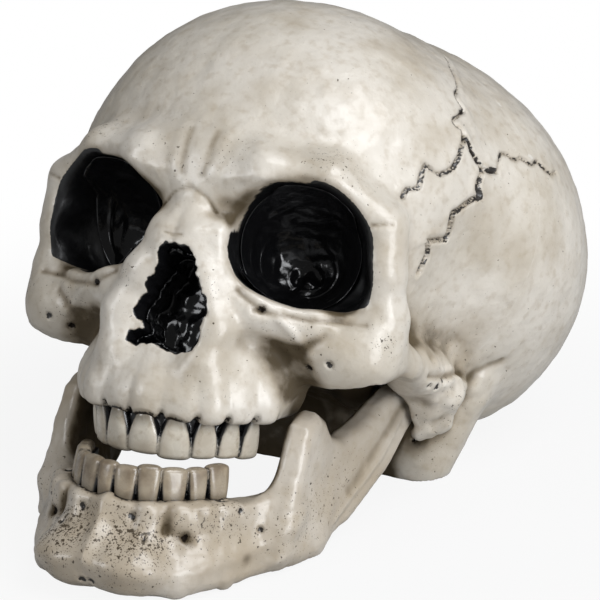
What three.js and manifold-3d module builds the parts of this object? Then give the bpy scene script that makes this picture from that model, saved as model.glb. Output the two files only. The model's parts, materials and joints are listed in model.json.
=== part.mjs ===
// A life-size skull decoration: a hollow moulded head in two shells, with black socket cups,
// strips of teeth and a lower jaw that swings on two pins.
// The pieces are drawn in the skull's own level frame, in millimetres: +X is its left,
// +Y its back, +Z up, with the origin midway between the ears. The whole skull is then
// pitched back, so that it stands on the flat of its base and on its lower jaw.

import * as THREE from 'three';
import { mergeVertices } from 'three/addons/utils/BufferGeometryUtils.js';
import Module from 'manifold-3d';

// Stance
const PITCH = THREE.MathUtils.degToRad(33.2);
const EAR_HEIGHT = 34.5;

// Facets of the modelled surfaces
const FACE_FACET = 5.7;
const BROAD_FACET = 11.5;
const CAVITY_FACET = 13;
const JAW_FACET = 5.8;
const ROUND_SIDES = 20;

// Mouldings and fits
const WALL = 2.8;
const GAP = 0.3;
const SWING_CLEARANCE = 1.5;

// Seam between the two shells, a plane leaning from the crown to just before the ears
const SEAM_Y = -1;
const SEAM_LEAN = 0.222;
const CROWN_TAB = { halfWidth: 15, length: 12, thickness: 3, root: 9 };

// Braincase: its outer sizes, then three ellipsoids blended from front to back
const HEAD_WIDTH = 160;
const HEAD_SIDE = HEAD_WIDTH / 2;
const HEAD_FRONT = -94;
const HEAD_BACK = 89;
const CROWN_HEIGHT = 111.5;
const FOREHEAD = { y: -38, z: 43, taper: 13.5, drop: 6.5 };
const CROWN = { y: 3.5, z: 51, taper: 0, drop: 0, halfLength: 64.5 };
const REAR = { y: 26, z: 42, taper: 1, drop: 5.5 };
const lobe = ({ y, z, taper, drop }, halfLength, blend) => ({
  at: [0, y, z],
  half: [HEAD_SIDE - taper, halfLength, CROWN_HEIGHT - drop - z],
  blend,
});
const BRAINCASE = [
  lobe(FOREHEAD, FOREHEAD.y - HEAD_FRONT, 0),
  lobe(CROWN, CROWN.halfLength, 12),
  lobe(REAR, HEAD_BACK - REAR.y, 14),
];
const BASE_FLOOR = { at: [0, 0, -14], up: [0, 0, 1], blend: 14 };
const NECK_SLOPE = { at: [0, 16, -31], up: [0, -0.62, 0.78], blend: 8 };
const FOOT = { at: [0, 28, -18], half: [47.5, 17, 20], power: 3, blend: 8 };

// Face bones: each line is a run of points with the bone's radius there
const TEMPLE_INSET = 25.5;
const TEMPLE_X = HEAD_SIDE - TEMPLE_INSET;
const BROW = {
  line: [
    [3, -91, 27, 7], [20, -91.5, 35, 7], [38, -85.5, 36, 7],
    [TEMPLE_X - 2.5, -74, 27, 6], [TEMPLE_X + 0.5, -70, 16, 5],
  ],
  blend: 8,
};
const TEMPLE_HOLLOW = { at: [HEAD_SIDE, -44, 18], half: [17, 22, 26], blend: 14 };
const CHEEK_POST = {
  line: [[TEMPLE_X, -71, 18, 6], [TEMPLE_X + 1.5, -64, 3, 7.5], [TEMPLE_X - 2.5, -62, -10, 10]],
  blend: 7,
};
const CHEEK_BODY = { at: [45, -64, -10], half: [14, 13, 11], blend: 8 };
const CHEEK_ARCH = {
  line: [[53, -60, -7, 9], [56, -46, -8, 7.5], [54.5, -30, -5, 8], [53.5, -10, -3.5, 10.5]],
  blend: 9,
};
const UPPER_JAW = { at: [0, -63, -26], half: [33, 30, 36], blend: 9 };
const JAW_CORE = { at: [0, -57, -8], half: [20, 16, 16] };
const GUM_RIDGE = {
  line: [[0, -85, -36, 9], [15, -81, -35, 9], [24, -70, -29, 8], [27, -58, -23, 7]],
  blend: 6,
};
const NOSE_SIDE = { line: [[38, -73, -4, 8], [23, -82, -4, 7.5], [11, -90, 13, 6.5]], blend: 6 };
const NOSE_CORE = { at: [0, -81, -5], half: [15, 11.5, 21], blend: 5 };
const NOSE_RIM = {
  line: [[5, -94, 11, 5], [10, -92, 0, 5.5], [15.5, -88.5, -13, 6], [14, -87, -24, 7]],
  blend: 5,
};
const NOSE_BRIDGE = { line: [[0, -91, 25, 8], [0, -93, 14, 6.5], [2, -95, 7, 6]], blend: 6 };
const CHEEK_HOLLOW = { at: [54, -42, -30], half: [18, 24, 20], blend: 8 };
const EAR_MOUND = { line: [[54, 13, 1, 10], [43, 20, -20, 12]], blend: 8 };

// Sockets: each eye socket lies between the nose's side and the cheek post
const ORBIT_INNER = 13.8;
const ORBIT_OUTER = TEMPLE_X - 1.9;
const ORBIT = {
  at: [(ORBIT_INNER + ORBIT_OUTER) / 2, -83, 16],
  half: [(ORBIT_OUTER - ORBIT_INNER) / 2, 27, 16.6],
  power: 2.2,
  tilt: [-12, 0, 14],
  blend: 4,
};
const CUP_WALL = 1.8;
const CUP_SETBACK = 2.6;
const NOSE_HOLE = { top: 7, middle: -8, bottom: -22, topHalf: 5.5, lobeHalf: 13.5, notch: 4 };
const NOSE_DEPTH = 20;
const NOSE_LEAD = 3;
const NOSE_FRONT = NOSE_BRIDGE.line.at(-1)[1] - NOSE_LEAD;

// Teeth: widths run from the middle of each row to its end
const UPPER_ROW = {
  front: -92.5, gum: -44, slope: 0.44, halfWidth: 29.5, depth: 38,
  widths: [8.3, 8.8, 8.4, 8.2, 8.2], length: 12, thickness: 7.5, hang: -1,
};
const LOWER_ROW = {
  front: -95.3, gum: -69.5, slope: 0.39, halfWidth: 28, depth: 40,
  widths: [7, 7.5, 8, 7.8, 8.4], length: 10, thickness: 6, hang: 1,
};
const TOOTH_POWER = 2.8;
const TOOTH_SIDES = 8;
const TOOTH_RINGS = 5;
const ROOT_SINK = 1.5;
const TOOTH_SPACE = 0.2;
const STRIP_WIDTH = 3.4;
const STRIP_SINK = 2.6;

// Lower jaw: a wall standing on a plan line (x, y, low z, high z, half thickness), then the ramus
const JAW_WALL = [
  [0, -90, -94.5, -66, 6.5], [9, -89.5, -94.5, -66, 6.5], [20, -82, -93.5, -63, 6],
  [28, -70, -87, -58, 5.5], [34.5, -54, -77, -52, 5], [39, -42, -69, -50, 5],
];
const CHIN = { at: [7, -91, -86], half: [13, 8.5, 9], blend: 6 };
const RAMUS = [
  [-60, -28], [-54, -28.5], [-47, -32], [-40, -31], [-32, -24], [-18, -6], [-10, -3], [-4, -9],
  [-15, -35], [-28, -54], [-39, -65], [-50, -71], [-60, -74], [-64, -58], [-65, -45], [-65, -34],
];
const RAMUS_X = 39;
const RAMUS_FLARE = 0.2;
const RAMUS_FLARE_FROM = -45;
const RAMUS_HALF = 4.5;
const RAMUS_BLEND = 8;

// Jaw hinge
const HINGE_Y = -9.5;
const HINGE_Z = -7.4;
const CONDYLE_IN = 41.5;
const CONDYLE_OUT = 51.5;
const CONDYLE_RADIUS = 6;
const PIN_RADIUS = 2;
const PIN_REACH = 4.5;
const PIN_HEAD_RADIUS = 4;
const PIN_HEAD_LENGTH = 2.5;
const WASHER_THICKNESS = 1;
const WASHER_RADIUS = 5.5;
const BOSS_RADIUS = 8.5;
const BOSS_LENGTH = 12;
const JAW_CLOSE = THREE.MathUtils.degToRad(-3);
const JAW_OPEN = THREE.MathUtils.degToRad(20);
const SWING_STEPS = 6;

// Hinge stations along X, from the middle of the head outwards
const BOSS_FACE = CONDYLE_IN - WASHER_THICKNESS - 2 * GAP;
const BOSS_BACK = BOSS_FACE - BOSS_LENGTH;
const SLOT_OUT = CONDYLE_OUT + SWING_CLEARANCE;
const SLOT_RADIUS = CONDYLE_RADIUS + SWING_CLEARANCE;
const PIN_END = SLOT_OUT + PIN_REACH;
const HEAD_ROOM = 1;

// Ear screws, which hold the two shells together
const EAR_Y = 8;
const EAR_Z = 7;
const EAR_PIT_RADIUS = 5.5;
const EAR_PIT_FLOOR = 6;
const SCREW_RADIUS = 1.75;
const SCREW_HEAD_RADIUS = 3.6;
const SCREW_HEAD_LENGTH = 2.4;
const SCREW_BITE = 8;
const EAR_TAB = { thickness: 10, halfHeight: 6, overlap: 7 };

// Finish
const BONE = { color: 0xcfc8ba, roughness: 0.38, metalness: 0 };
const JAW_BONE = { color: 0xc9c1b2, roughness: 0.4, metalness: 0 };
const TOOTH = { color: 0xbfb6a4, roughness: 0.35, metalness: 0 };
const LOWER_TOOTH = { color: 0x94806a, roughness: 0.4, metalness: 0 };
const SOCKET_BLACK = { color: 0x0c0c0e, roughness: 0.18, metalness: 0 };
const STEEL = { color: 0x9a9da1, roughness: 0.35, metalness: 1 };
const NYLON = { color: 0xe6e4dc, roughness: 0.5, metalness: 0 };

const wasm = await Module();
wasm.setup();

// Distance fields: negative inside, in millimetres

const blendMin = (a, b, k) => {
  if (k <= 0) return Math.min(a, b);
  const h = Math.min(1, Math.max(0, 0.5 + 0.5 * (b - a) / k));
  return b + (a - b) * h - k * h * (1 - h);
};
const join = (a, b, k) => (x, y, z) => blendMin(a(x, y, z), b(x, y, z), k);
const carve = (a, b, k) => (x, y, z) => -blendMin(-a(x, y, z), b(x, y, z), k);
const mirrored = (field) => (x, y, z) => field(Math.abs(x), y, z);
const shrunk = (field, depth) => (x, y, z) => field(x, y, z) + depth;

const ellipsoid = ({ at, half }) => (x, y, z) => {
  const u = (x - at[0]) / half[0];
  const v = (y - at[1]) / half[1];
  const w = (z - at[2]) / half[2];
  const near = Math.hypot(u, v, w) + 1e-9;
  return near * (near - 1) / (Math.hypot(u / half[0], v / half[1], w / half[2]) + 1e-9);
};

const turnOf = (tilt = [0, 0, 0]) => {
  const angles = tilt.map(THREE.MathUtils.degToRad);
  return new THREE.Matrix4().makeRotationFromEuler(new THREE.Euler(...angles, 'ZYX'));
};

const superellipsoid = ({ at, half, power, tilt }) => {
  const back = turnOf(tilt).invert();
  const p = new THREE.Vector3();
  return (x, y, z) => {
    p.set(x - at[0], y - at[1], z - at[2]).applyMatrix4(back);
    const q = [p.x, p.y, p.z].map((value, i) => Math.abs(value) / half[i] + 1e-6);
    const sum = q.reduce((total, value) => total + value ** power, 0);
    const pull = q.map((value, i) => value ** (power - 1) / half[i]);
    return (sum - sum ** (1 - 1 / power)) / Math.hypot(...pull);
  };
};

const above = ({ at, up }) => {
  const length = Math.hypot(...up);
  return (x, y, z) => ((x - at[0]) * up[0] + (y - at[1]) * up[1] + (z - at[2]) * up[2]) / length;
};

const limb = (a, b) => {
  const run = [b[0] - a[0], b[1] - a[1], b[2] - a[2]];
  const square = run[0] ** 2 + run[1] ** 2 + run[2] ** 2;
  return (x, y, z) => {
    const along = ((x - a[0]) * run[0] + (y - a[1]) * run[1] + (z - a[2]) * run[2]) / square;
    const t = Math.min(1, Math.max(0, along));
    const away = Math.hypot(x - a[0] - t * run[0], y - a[1] - t * run[1], z - a[2] - t * run[2]);
    return away - a[3] - t * (b[3] - a[3]);
  };
};
const LIMB_BLEND = 4;
const bone = ({ line }) => line.slice(1)
  .map((point, i) => limb(line[i], point))
  .reduce((whole, piece) => join(whole, piece, LIMB_BLEND));

const roundedCorner = (a, b, r) => Math.hypot(Math.max(a + r, 0), Math.max(b + r, 0))
  + Math.min(Math.max(a, b) + r, 0) - r;

const WALL_ROUNDING = 0.8;
const standingWall = (stations) => {
  const pieces = stations.slice(1).map((end, i) => {
    const start = stations[i];
    const run = [end[0] - start[0], end[1] - start[1]];
    const square = run[0] ** 2 + run[1] ** 2;
    return (x, y, z) => {
      const along = ((x - start[0]) * run[0] + (y - start[1]) * run[1]) / square;
      const t = Math.min(1, Math.max(0, along));
      const [low, high, thick] = [2, 3, 4].map((k) => start[k] + t * (end[k] - start[k]));
      const away = Math.hypot(x - start[0] - t * run[0], y - start[1] - t * run[1]);
      const rise = Math.abs(z - (low + high) / 2) - (high - low) / 2;
      return roundedCorner(away - thick, rise, thick * WALL_ROUNDING);
    };
  });
  return pieces.reduce((whole, piece) => join(whole, piece, 0));
};

// Signed distance to a closed outline in the y, z plane
const outlineDistance = (points, y, z) => {
  let nearest = Infinity;
  let side = 1;
  for (let i = 0; i < points.length; i += 1) {
    const a = points[i];
    const b = points[(i + 1) % points.length];
    const ey = b[0] - a[0];
    const ez = b[1] - a[1];
    const wy = y - a[0];
    const wz = z - a[1];
    const t = Math.min(1, Math.max(0, (wy * ey + wz * ez) / (ey * ey + ez * ez)));
    nearest = Math.min(nearest, (wy - t * ey) ** 2 + (wz - t * ez) ** 2);
    const starts = z >= a[1];
    const stops = z < b[1];
    const left = ey * wz > ez * wy;
    if (starts === stops && stops === left) side = -side;
  }
  return side * Math.sqrt(nearest);
};

const PLATE_ROUNDING = 3.5;
const ramusPlate = (x, y, z) => {
  const lies = RAMUS_X + Math.max(0, (y - RAMUS_FLARE_FROM) * RAMUS_FLARE);
  return roundedCorner(outlineDistance(RAMUS, y, z), Math.abs(x - lies) - RAMUS_HALF, PLATE_ROUNDING);
};

// The lower jaw, and the space that its ramus sweeps as it swings

const jawBody = join(standingWall(JAW_WALL), ellipsoid(CHIN), CHIN.blend);
const jaw = mirrored(join(jawBody, ramusPlate, RAMUS_BLEND));
const SWING_NEAR = 24;
const swungRamus = (x, y, z) => {
  const aside = Math.abs(Math.abs(x) - RAMUS_X) - RAMUS_HALF;
  if (aside > SWING_NEAR) return aside;
  let nearest = Infinity;
  for (let i = 0; i <= SWING_STEPS; i += 1) {
    const turn = JAW_CLOSE + (JAW_OPEN - JAW_CLOSE) * i / SWING_STEPS;
    const [c, s] = [Math.cos(turn), Math.sin(turn)];
    const [v, w] = [y - HINGE_Y, z - HINGE_Z];
    const swung = ramusPlate(Math.abs(x), HINGE_Y + c * v + s * w, HINGE_Z - s * v + c * w);
    nearest = Math.min(nearest, swung);
  }
  return nearest - SWING_CLEARANCE;
};

// The head

const braincase = [BASE_FLOOR, NECK_SLOPE].reduce(
  (whole, side) => carve(whole, above(side), side.blend),
  BRAINCASE.slice(1).reduce(
    (whole, lobe) => join(whole, ellipsoid(lobe), lobe.blend),
    ellipsoid(BRAINCASE[0]),
  ),
);
const gumPlane = (row) => above({ at: [0, row.front, row.gum], up: [0, -row.slope, 1] });
const GUM_ROUNDING = 2;
const SWING_ROUNDING = 2;
const hingeBoss = limb(
  [CONDYLE_IN - BOSS_LENGTH, HINGE_Y, HINGE_Z, BOSS_RADIUS],
  [CONDYLE_IN, HINGE_Y, HINGE_Z, BOSS_RADIUS],
);

let bulk = mirrored(braincase);
bulk = join(bulk, mirrored(bone(BROW)), BROW.blend);
bulk = carve(bulk, mirrored(ellipsoid(TEMPLE_HOLLOW)), TEMPLE_HOLLOW.blend);
bulk = join(bulk, mirrored(bone(CHEEK_POST)), CHEEK_POST.blend);
bulk = join(bulk, mirrored(ellipsoid(CHEEK_BODY)), CHEEK_BODY.blend);
bulk = join(bulk, mirrored(bone(CHEEK_ARCH)), CHEEK_ARCH.blend);
const upperJaw = join(ellipsoid(UPPER_JAW), mirrored(bone(GUM_RIDGE)), GUM_RIDGE.blend);
bulk = join(bulk, carve(upperJaw, gumPlane(UPPER_ROW), GUM_ROUNDING), UPPER_JAW.blend);
bulk = join(bulk, mirrored(bone(NOSE_SIDE)), NOSE_SIDE.blend);
bulk = join(bulk, ellipsoid(NOSE_CORE), NOSE_CORE.blend);
bulk = join(bulk, mirrored(bone(NOSE_RIM)), NOSE_RIM.blend);
bulk = carve(bulk, mirrored(ellipsoid(CHEEK_HOLLOW)), CHEEK_HOLLOW.blend);
bulk = join(bulk, mirrored(bone(NOSE_BRIDGE)), NOSE_BRIDGE.blend);
bulk = join(bulk, mirrored(bone(EAR_MOUND)), EAR_MOUND.blend);
bulk = join(bulk, superellipsoid(FOOT), FOOT.blend);
bulk = join(bulk, mirrored(hingeBoss), EAR_MOUND.blend);
const headWithOrbits = carve(bulk, mirrored(superellipsoid(ORBIT)), ORBIT.blend);
const slotRoom = limb(
  [BOSS_FACE, HINGE_Y, HINGE_Z, SLOT_RADIUS],
  [SLOT_OUT, HINGE_Y, HINGE_Z, SLOT_RADIUS],
);
const head = carve(carve(bulk, swungRamus, SWING_ROUNDING), mirrored(slotRoom), SWING_ROUNDING);
const core = join(shrunk(braincase, WALL), ellipsoid(JAW_CORE), WALL);
const noseRoom = ellipsoid({
  at: [0, NOSE_FRONT, NOSE_HOLE.middle],
  half: [2 * NOSE_HOLE.lobeHalf, NOSE_DEPTH + 2 * WALL, NOSE_HOLE.top - NOSE_HOLE.bottom],
});
const cavity = (x, y, z) => Math.max(core(x, y, z), head(x, y, z) + WALL, -noseRoom(x, y, z));

// Surfaces from fields: one vertex for each sheet of the surface in each cell of a grid

function sheetsOfCell(inside) {
  const owner = Array.from({ length: 12 }, (_, edge) => edge);
  const root = (edge) => (owner[edge] === edge ? edge : root(owner[edge]));
  for (let a = 0; a < 3; a += 1) {
    const b = (a + 1) % 3;
    const c = (a + 2) % 3;
    for (let side = 0; side < 2; side += 1) {
      const corner = (db, dc) => inside[(side << a) | (db << b) | (dc << c)];
      const alongB = (dc) => b * 4 + dc + 2 * side;
      const alongC = (db) => c * 4 + side + 2 * db;
      const crossed = [];
      for (const d of [0, 1]) {
        if (corner(0, d) !== corner(1, d)) crossed.push(alongB(d));
        if (corner(d, 0) !== corner(d, 1)) crossed.push(alongC(d));
      }
      if (crossed.length === 2) owner[root(crossed[0])] = root(crossed[1]);
      if (crossed.length < 4) continue;
      for (const db of [0, 1]) {
        for (const dc of [0, 1]) {
          if (corner(db, dc)) owner[root(alongB(dc))] = root(alongC(db));
        }
      }
    }
  }
  return owner.map((_, edge) => root(edge));
}

// Draws each point towards the middle of its neighbours, then back onto the surface
const SETTLE_ROUNDS = 5;
const SETTLE_PROBE = 0.25;
const SETTLE_REACH = 2;
const SETTLE_EASE = 0.5;
function settle(field, points, rings) {
  const count = points.length / 3;
  for (let round = 0; round < SETTLE_ROUNDS; round += 1) {
    const sum = new Float64Array(points.length);
    const share = new Float64Array(count);
    for (const ring of rings) {
      ring.forEach((m, i) => {
        const n = ring[(i + 1) % ring.length];
        for (let k = 0; k < 3; k += 1) {
          sum[m * 3 + k] += points[n * 3 + k];
          sum[n * 3 + k] += points[m * 3 + k];
        }
        share[m] += 1;
        share[n] += 1;
      });
    }
    for (let i = 0; i < count; i += 1) {
      const p = [0, 1, 2].map((k) => {
        const here = points[i * 3 + k];
        return here + SETTLE_EASE * (sum[i * 3 + k] / share[i] - here);
      });
      for (let pull = 0; pull < 2; pull += 1) {
        const [x, y, z] = p;
        const slope = [
          field(x + SETTLE_PROBE, y, z) - field(x - SETTLE_PROBE, y, z),
          field(x, y + SETTLE_PROBE, z) - field(x, y - SETTLE_PROBE, z),
          field(x, y, z + SETTLE_PROBE) - field(x, y, z - SETTLE_PROBE),
        ].map((rise) => rise / (2 * SETTLE_PROBE));
        const square = slope[0] ** 2 + slope[1] ** 2 + slope[2] ** 2 + 1e-6;
        const move = THREE.MathUtils.clamp(field(x, y, z) / square, -SETTLE_REACH, SETTLE_REACH);
        slope.forEach((rise, k) => { p[k] -= move * rise; });
      }
      p.forEach((value, k) => { points[i * 3 + k] = value; });
    }
  }
}

// Grid lines from low to high: fine within the given stretch, broad outside it
function ruling(low, high, broad, fine = broad, from = low, to = high) {
  const lines = [];
  const fill = (start, end, step) => {
    const count = Math.max(1, Math.round((end - start) / step));
    for (let i = 0; i < count; i += 1) lines.push(start + (end - start) * i / count);
  };
  if (from > low) fill(low, from, broad);
  fill(from, to, fine);
  if (to < high) fill(to, high, broad);
  lines.push(high);
  return lines;
}

function skin(field, rulings) {
  const count = rulings.map((lines) => lines.length);
  const stride = [1, count[0], count[0] * count[1]];
  const total = stride[2] * count[2];
  const spot = (i) => [i % count[0], Math.floor(i / stride[1]) % count[1], Math.floor(i / stride[2])];
  const value = new Float64Array(total);
  for (let i = 0; i < total; i += 1) {
    const [m, n, o] = spot(i);
    value[i] = field(rulings[0][m], rulings[1][n], rulings[2][o]);
  }
  const cornerStep = (corner) => [0, 1, 2].reduce((sum, k) => sum + ((corner >> k) & 1) * stride[k], 0);
  const corners = Array.from({ length: 8 }, (_, corner) => cornerStep(corner));
  const vertexAt = new Int32Array(total * 12).fill(-1);
  const points = [];
  for (let i = 0; i < total; i += 1) {
    const cell = spot(i);
    if (cell.some((n, k) => n >= count[k] - 1)) continue;
    const inside = corners.map((step) => value[i + step] < 0);
    if (inside.every((flag) => flag === inside[0])) continue;
    const sheet = sheetsOfCell(inside);
    const gathered = new Map();
    for (let edge = 0; edge < 12; edge += 1) {
      const a = edge >> 2;
      const start = ((edge & 1) << ((a + 1) % 3)) | (((edge >> 1) & 1) << ((a + 2) % 3));
      const end = start | (1 << a);
      if (inside[start] === inside[end]) continue;
      const [from, to] = [value[i + corners[start]], value[i + corners[end]]];
      const place = [0, 1, 2].map((k) => rulings[k][cell[k] + ((start >> k) & 1)]);
      place[a] += (rulings[a][cell[a] + 1] - place[a]) * from / (from - to);
      const group = gathered.get(sheet[edge]) ?? { sum: [0, 0, 0], edges: [] };
      group.sum = group.sum.map((s, k) => s + place[k]);
      group.edges.push(edge);
      gathered.set(sheet[edge], group);
    }
    for (const { sum, edges } of gathered.values()) {
      for (const edge of edges) vertexAt[i * 12 + edge] = points.length / 3;
      points.push(...sum.map((s) => s / edges.length));
    }
  }
  const rings = [];
  const away = (m, n) => Math.hypot(...[0, 1, 2].map((k) => points[m * 3 + k] - points[n * 3 + k]));
  for (let i = 0; i < total; i += 1) {
    const cell = spot(i);
    for (let a = 0; a < 3; a += 1) {
      const [b, c] = [(a + 1) % 3, (a + 2) % 3];
      if (cell[a] >= count[a] - 1 || cell[b] === 0 || cell[c] === 0) continue;
      const [from, to] = [value[i] < 0, value[i + stride[a]] < 0];
      if (from === to) continue;
      const ring = [[0, 0], [1, 0], [1, 1], [0, 1]]
        .map(([db, dc]) => vertexAt[(i - db * stride[b] - dc * stride[c]) * 12 + a * 4 + db + 2 * dc]);
      if (to) ring.reverse();
      rings.push(ring);
    }
  }
  settle(field, points, rings);
  const faces = rings.flatMap(([p, q, r, s]) => (
    away(p, r) < away(q, s) ? [p, q, r, p, r, s] : [p, q, s, q, r, s]
  ));
  const geometry = new THREE.BufferGeometry();
  geometry.setAttribute('position', new THREE.Float32BufferAttribute(points, 3));
  geometry.setIndex(faces);
  return geometry;
}

// Solids that can be joined and cut

function solid(geometry, matrix = new THREE.Matrix4()) {
  const bare = new THREE.BufferGeometry();
  bare.setAttribute('position', geometry.getAttribute('position').clone());
  if (geometry.index) bare.setIndex(geometry.index.clone());
  const merged = mergeVertices(bare.applyMatrix4(matrix), 1e-4);
  const index = merged.index.array;
  const faces = [];
  for (let i = 0; i < index.length; i += 3) {
    const [a, b, c] = [index[i], index[i + 1], index[i + 2]];
    if (a !== b && b !== c && c !== a) faces.push(a, b, c);
  }
  return new wasm.Manifold(new wasm.Mesh({
    numProp: 3,
    vertProperties: new Float32Array(merged.getAttribute('position').array),
    triVerts: new Uint32Array(faces),
  }));
}

function piece(name, body, finish) {
  const { vertProperties, triVerts, numProp } = body.getMesh();
  const points = [];
  for (let i = 0; i < vertProperties.length; i += numProp) points.push(...vertProperties.slice(i, i + 3));
  const geometry = new THREE.BufferGeometry();
  geometry.setAttribute('position', new THREE.Float32BufferAttribute(points, 3));
  geometry.setIndex(Array.from(triVerts));
  geometry.computeVertexNormals();
  const mesh = new THREE.Mesh(geometry, new THREE.MeshStandardMaterial(finish));
  mesh.name = name;
  return mesh;
}

const moved = (x, y, z) => new THREE.Matrix4().makeTranslation(x, y, z);
const block = (low, high) => solid(
  new THREE.BoxGeometry(...low.map((start, k) => high[k] - start)),
  moved(...low.map((start, k) => (start + high[k]) / 2)),
);
const rod = (radius, from, to, y, z) => {
  const lying = new THREE.Matrix4().makeRotationZ(-Math.PI / 2);
  const bar = new THREE.CylinderGeometry(radius, radius, Math.abs(to - from), ROUND_SIDES);
  return solid(bar, moved((from + to) / 2, y, z).multiply(lying));
};

const SPAN = 400;
const belowFloor = solid(
  new THREE.BoxGeometry(SPAN, SPAN, SPAN),
  new THREE.Matrix4().makeRotationX(PITCH).multiply(moved(0, 0, -EAR_HEIGHT - SPAN / 2)),
);
const seamTilt = new THREE.Matrix4().makeRotationX(Math.atan(SEAM_LEAN));
const behindSeam = (offset) => solid(
  new THREE.BoxGeometry(SPAN, SPAN, SPAN),
  moved(0, SEAM_Y, 0).multiply(seamTilt).multiply(moved(0, offset + SPAN / 2, 0)),
);

// How far out a field's surface lies from a starting point
function reachOf(field, start, direction) {
  let reach = 0;
  while (field(...start.map((s, k) => s + reach * direction[k])) < 0 && reach < SPAN) reach += 0.1;
  return reach;
}

// Shells

const OVERLAP = 8;
const seamSide = above({ at: [0, SEAM_Y, 0], up: [0, 1, SEAM_LEAN] });
const inFront = (x, y, z) => Math.max(headWithOrbits(x, y, z), seamSide(x, y, z) - OVERLAP);
const behind = (x, y, z) => Math.max(headWithOrbits(x, y, z), -seamSide(x, y, z) - OVERLAP);
const FRONT_ROOM = 18;
const SIDE_ROOM = 12;
const BACK_ROOM = 15;
const TOP_ROOM = 14.5;
const HEAD_LOW = [-HEAD_SIDE - SIDE_ROOM, HEAD_FRONT - FRONT_ROOM, UPPER_ROW.gum - FRONT_ROOM];
const HEAD_HIGH = [HEAD_SIDE + SIDE_ROOM, HEAD_BACK + BACK_ROOM, CROWN_HEIGHT + TOP_ROOM];
const FACE_HALF = 62;
const FACE_BACK = -54;
const FACE_TOP = 44;
const even = (facet) => HEAD_LOW.map((low, k) => ruling(low, HEAD_HIGH[k], facet));
const faceRulings = (back) => [
  ruling(HEAD_LOW[0], HEAD_HIGH[0], BROAD_FACET, FACE_FACET, -FACE_HALF, FACE_HALF),
  ruling(HEAD_LOW[1], back, BROAD_FACET, FACE_FACET, HEAD_LOW[1], FACE_BACK),
  ruling(HEAD_LOW[2], HEAD_HIGH[2], BROAD_FACET, FACE_FACET, HEAD_LOW[2], FACE_TOP),
];
const hollow = solid(skin(mirrored(cavity), even(CAVITY_FACET)));
const JAW_LOW = [-64, -112, -112];
const JAW_HIGH = [64, 14, 14];
const jawRulings = JAW_LOW.map((low, k) => ruling(low, JAW_HIGH[k], JAW_FACET));
const sweep = solid(skin(swungRamus, jawRulings));
const behindFace = behindSeam(-GAP / 2);
const behindRear = behindSeam(GAP / 2);

// Nose opening: a pear with two lobes, pushed straight back
const nosePlan = (inset) => {
  const { top, middle, bottom, topHalf, lobeHalf, notch } = NOSE_HOLE;
  const plan = new THREE.Shape();
  plan.moveTo(0, top - inset);
  plan.quadraticCurveTo(topHalf - inset, top - inset, topHalf - inset, top - topHalf);
  plan.bezierCurveTo(topHalf - inset, middle, lobeHalf - inset, middle, lobeHalf - inset, bottom + notch * 2);
  plan.quadraticCurveTo(lobeHalf - inset, bottom + inset, lobeHalf / 2, bottom + inset);
  plan.quadraticCurveTo(lobeHalf / 4, bottom + inset, 0, bottom + notch + inset);
  plan.quadraticCurveTo(-lobeHalf / 4, bottom + inset, -lobeHalf / 2, bottom + inset);
  plan.quadraticCurveTo(inset - lobeHalf, bottom + inset, inset - lobeHalf, bottom + notch * 2);
  plan.bezierCurveTo(inset - lobeHalf, middle, inset - topHalf, middle, inset - topHalf, top - topHalf);
  plan.quadraticCurveTo(inset - topHalf, top - inset, 0, top - inset);
  return plan;
};
const NOSE_CURVE_STEPS = 4;
const nosePlug = (inset, from, to) => solid(
  new THREE.ExtrudeGeometry(nosePlan(inset), {
    depth: to - from, bevelEnabled: false, curveSegments: NOSE_CURVE_STEPS,
  }),
  moved(0, to, 0).multiply(new THREE.Matrix4().makeRotationX(Math.PI / 2)),
);
const NOSE_BACK = NOSE_FRONT + NOSE_DEPTH;
const NOSE_CLEAR = NOSE_FRONT - SPAN / 10;

const hingeRod = (radius, from, to, side) => rod(radius, side * from, side * to, HINGE_Y, HINGE_Z);

// Ear stations along X, from the outside inwards
const earSurface = reachOf(mirrored(head), [BOSS_FACE, EAR_Y, EAR_Z], [1, 0, 0]) + BOSS_FACE;
const earWall = Math.min(...[EAR_Y - EAR_TAB.overlap, EAR_Y + EAR_TAB.overlap].flatMap(
  (y) => [-EAR_TAB.halfHeight, EAR_TAB.halfHeight].map(
    (rise) => reachOf(cavity, [0, y, EAR_Z + rise], [1, 0, 0]),
  ),
));
const tabFace = earWall - 2 * GAP;
const tabBack = tabFace - EAR_TAB.thickness;
const pitFloor = tabFace + EAR_PIT_FLOOR;
const earRod = (radius, from, to, side) => rod(radius, side * from, side * to, EAR_Y, EAR_Z);

// The tab that each ear screw bites, which reaches back from the face shell
function earTab(side, grow) {
  const low = EAR_Z - EAR_TAB.halfHeight - grow;
  const high = EAR_Z + EAR_TAB.halfHeight + grow;
  const front = SEAM_Y - 2 * EAR_TAB.overlap;
  const slab = (from, to, back) => block(
    [Math.min(side * from, side * to), front, low],
    [Math.max(side * from, side * to), back, high],
  );
  const root = slab(tabBack, tabFace + WALL, SEAM_Y - GAP);
  const blade = slab(tabBack - grow, tabFace + grow, EAR_Y + EAR_TAB.overlap + grow);
  return root.add(blade);
}

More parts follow.
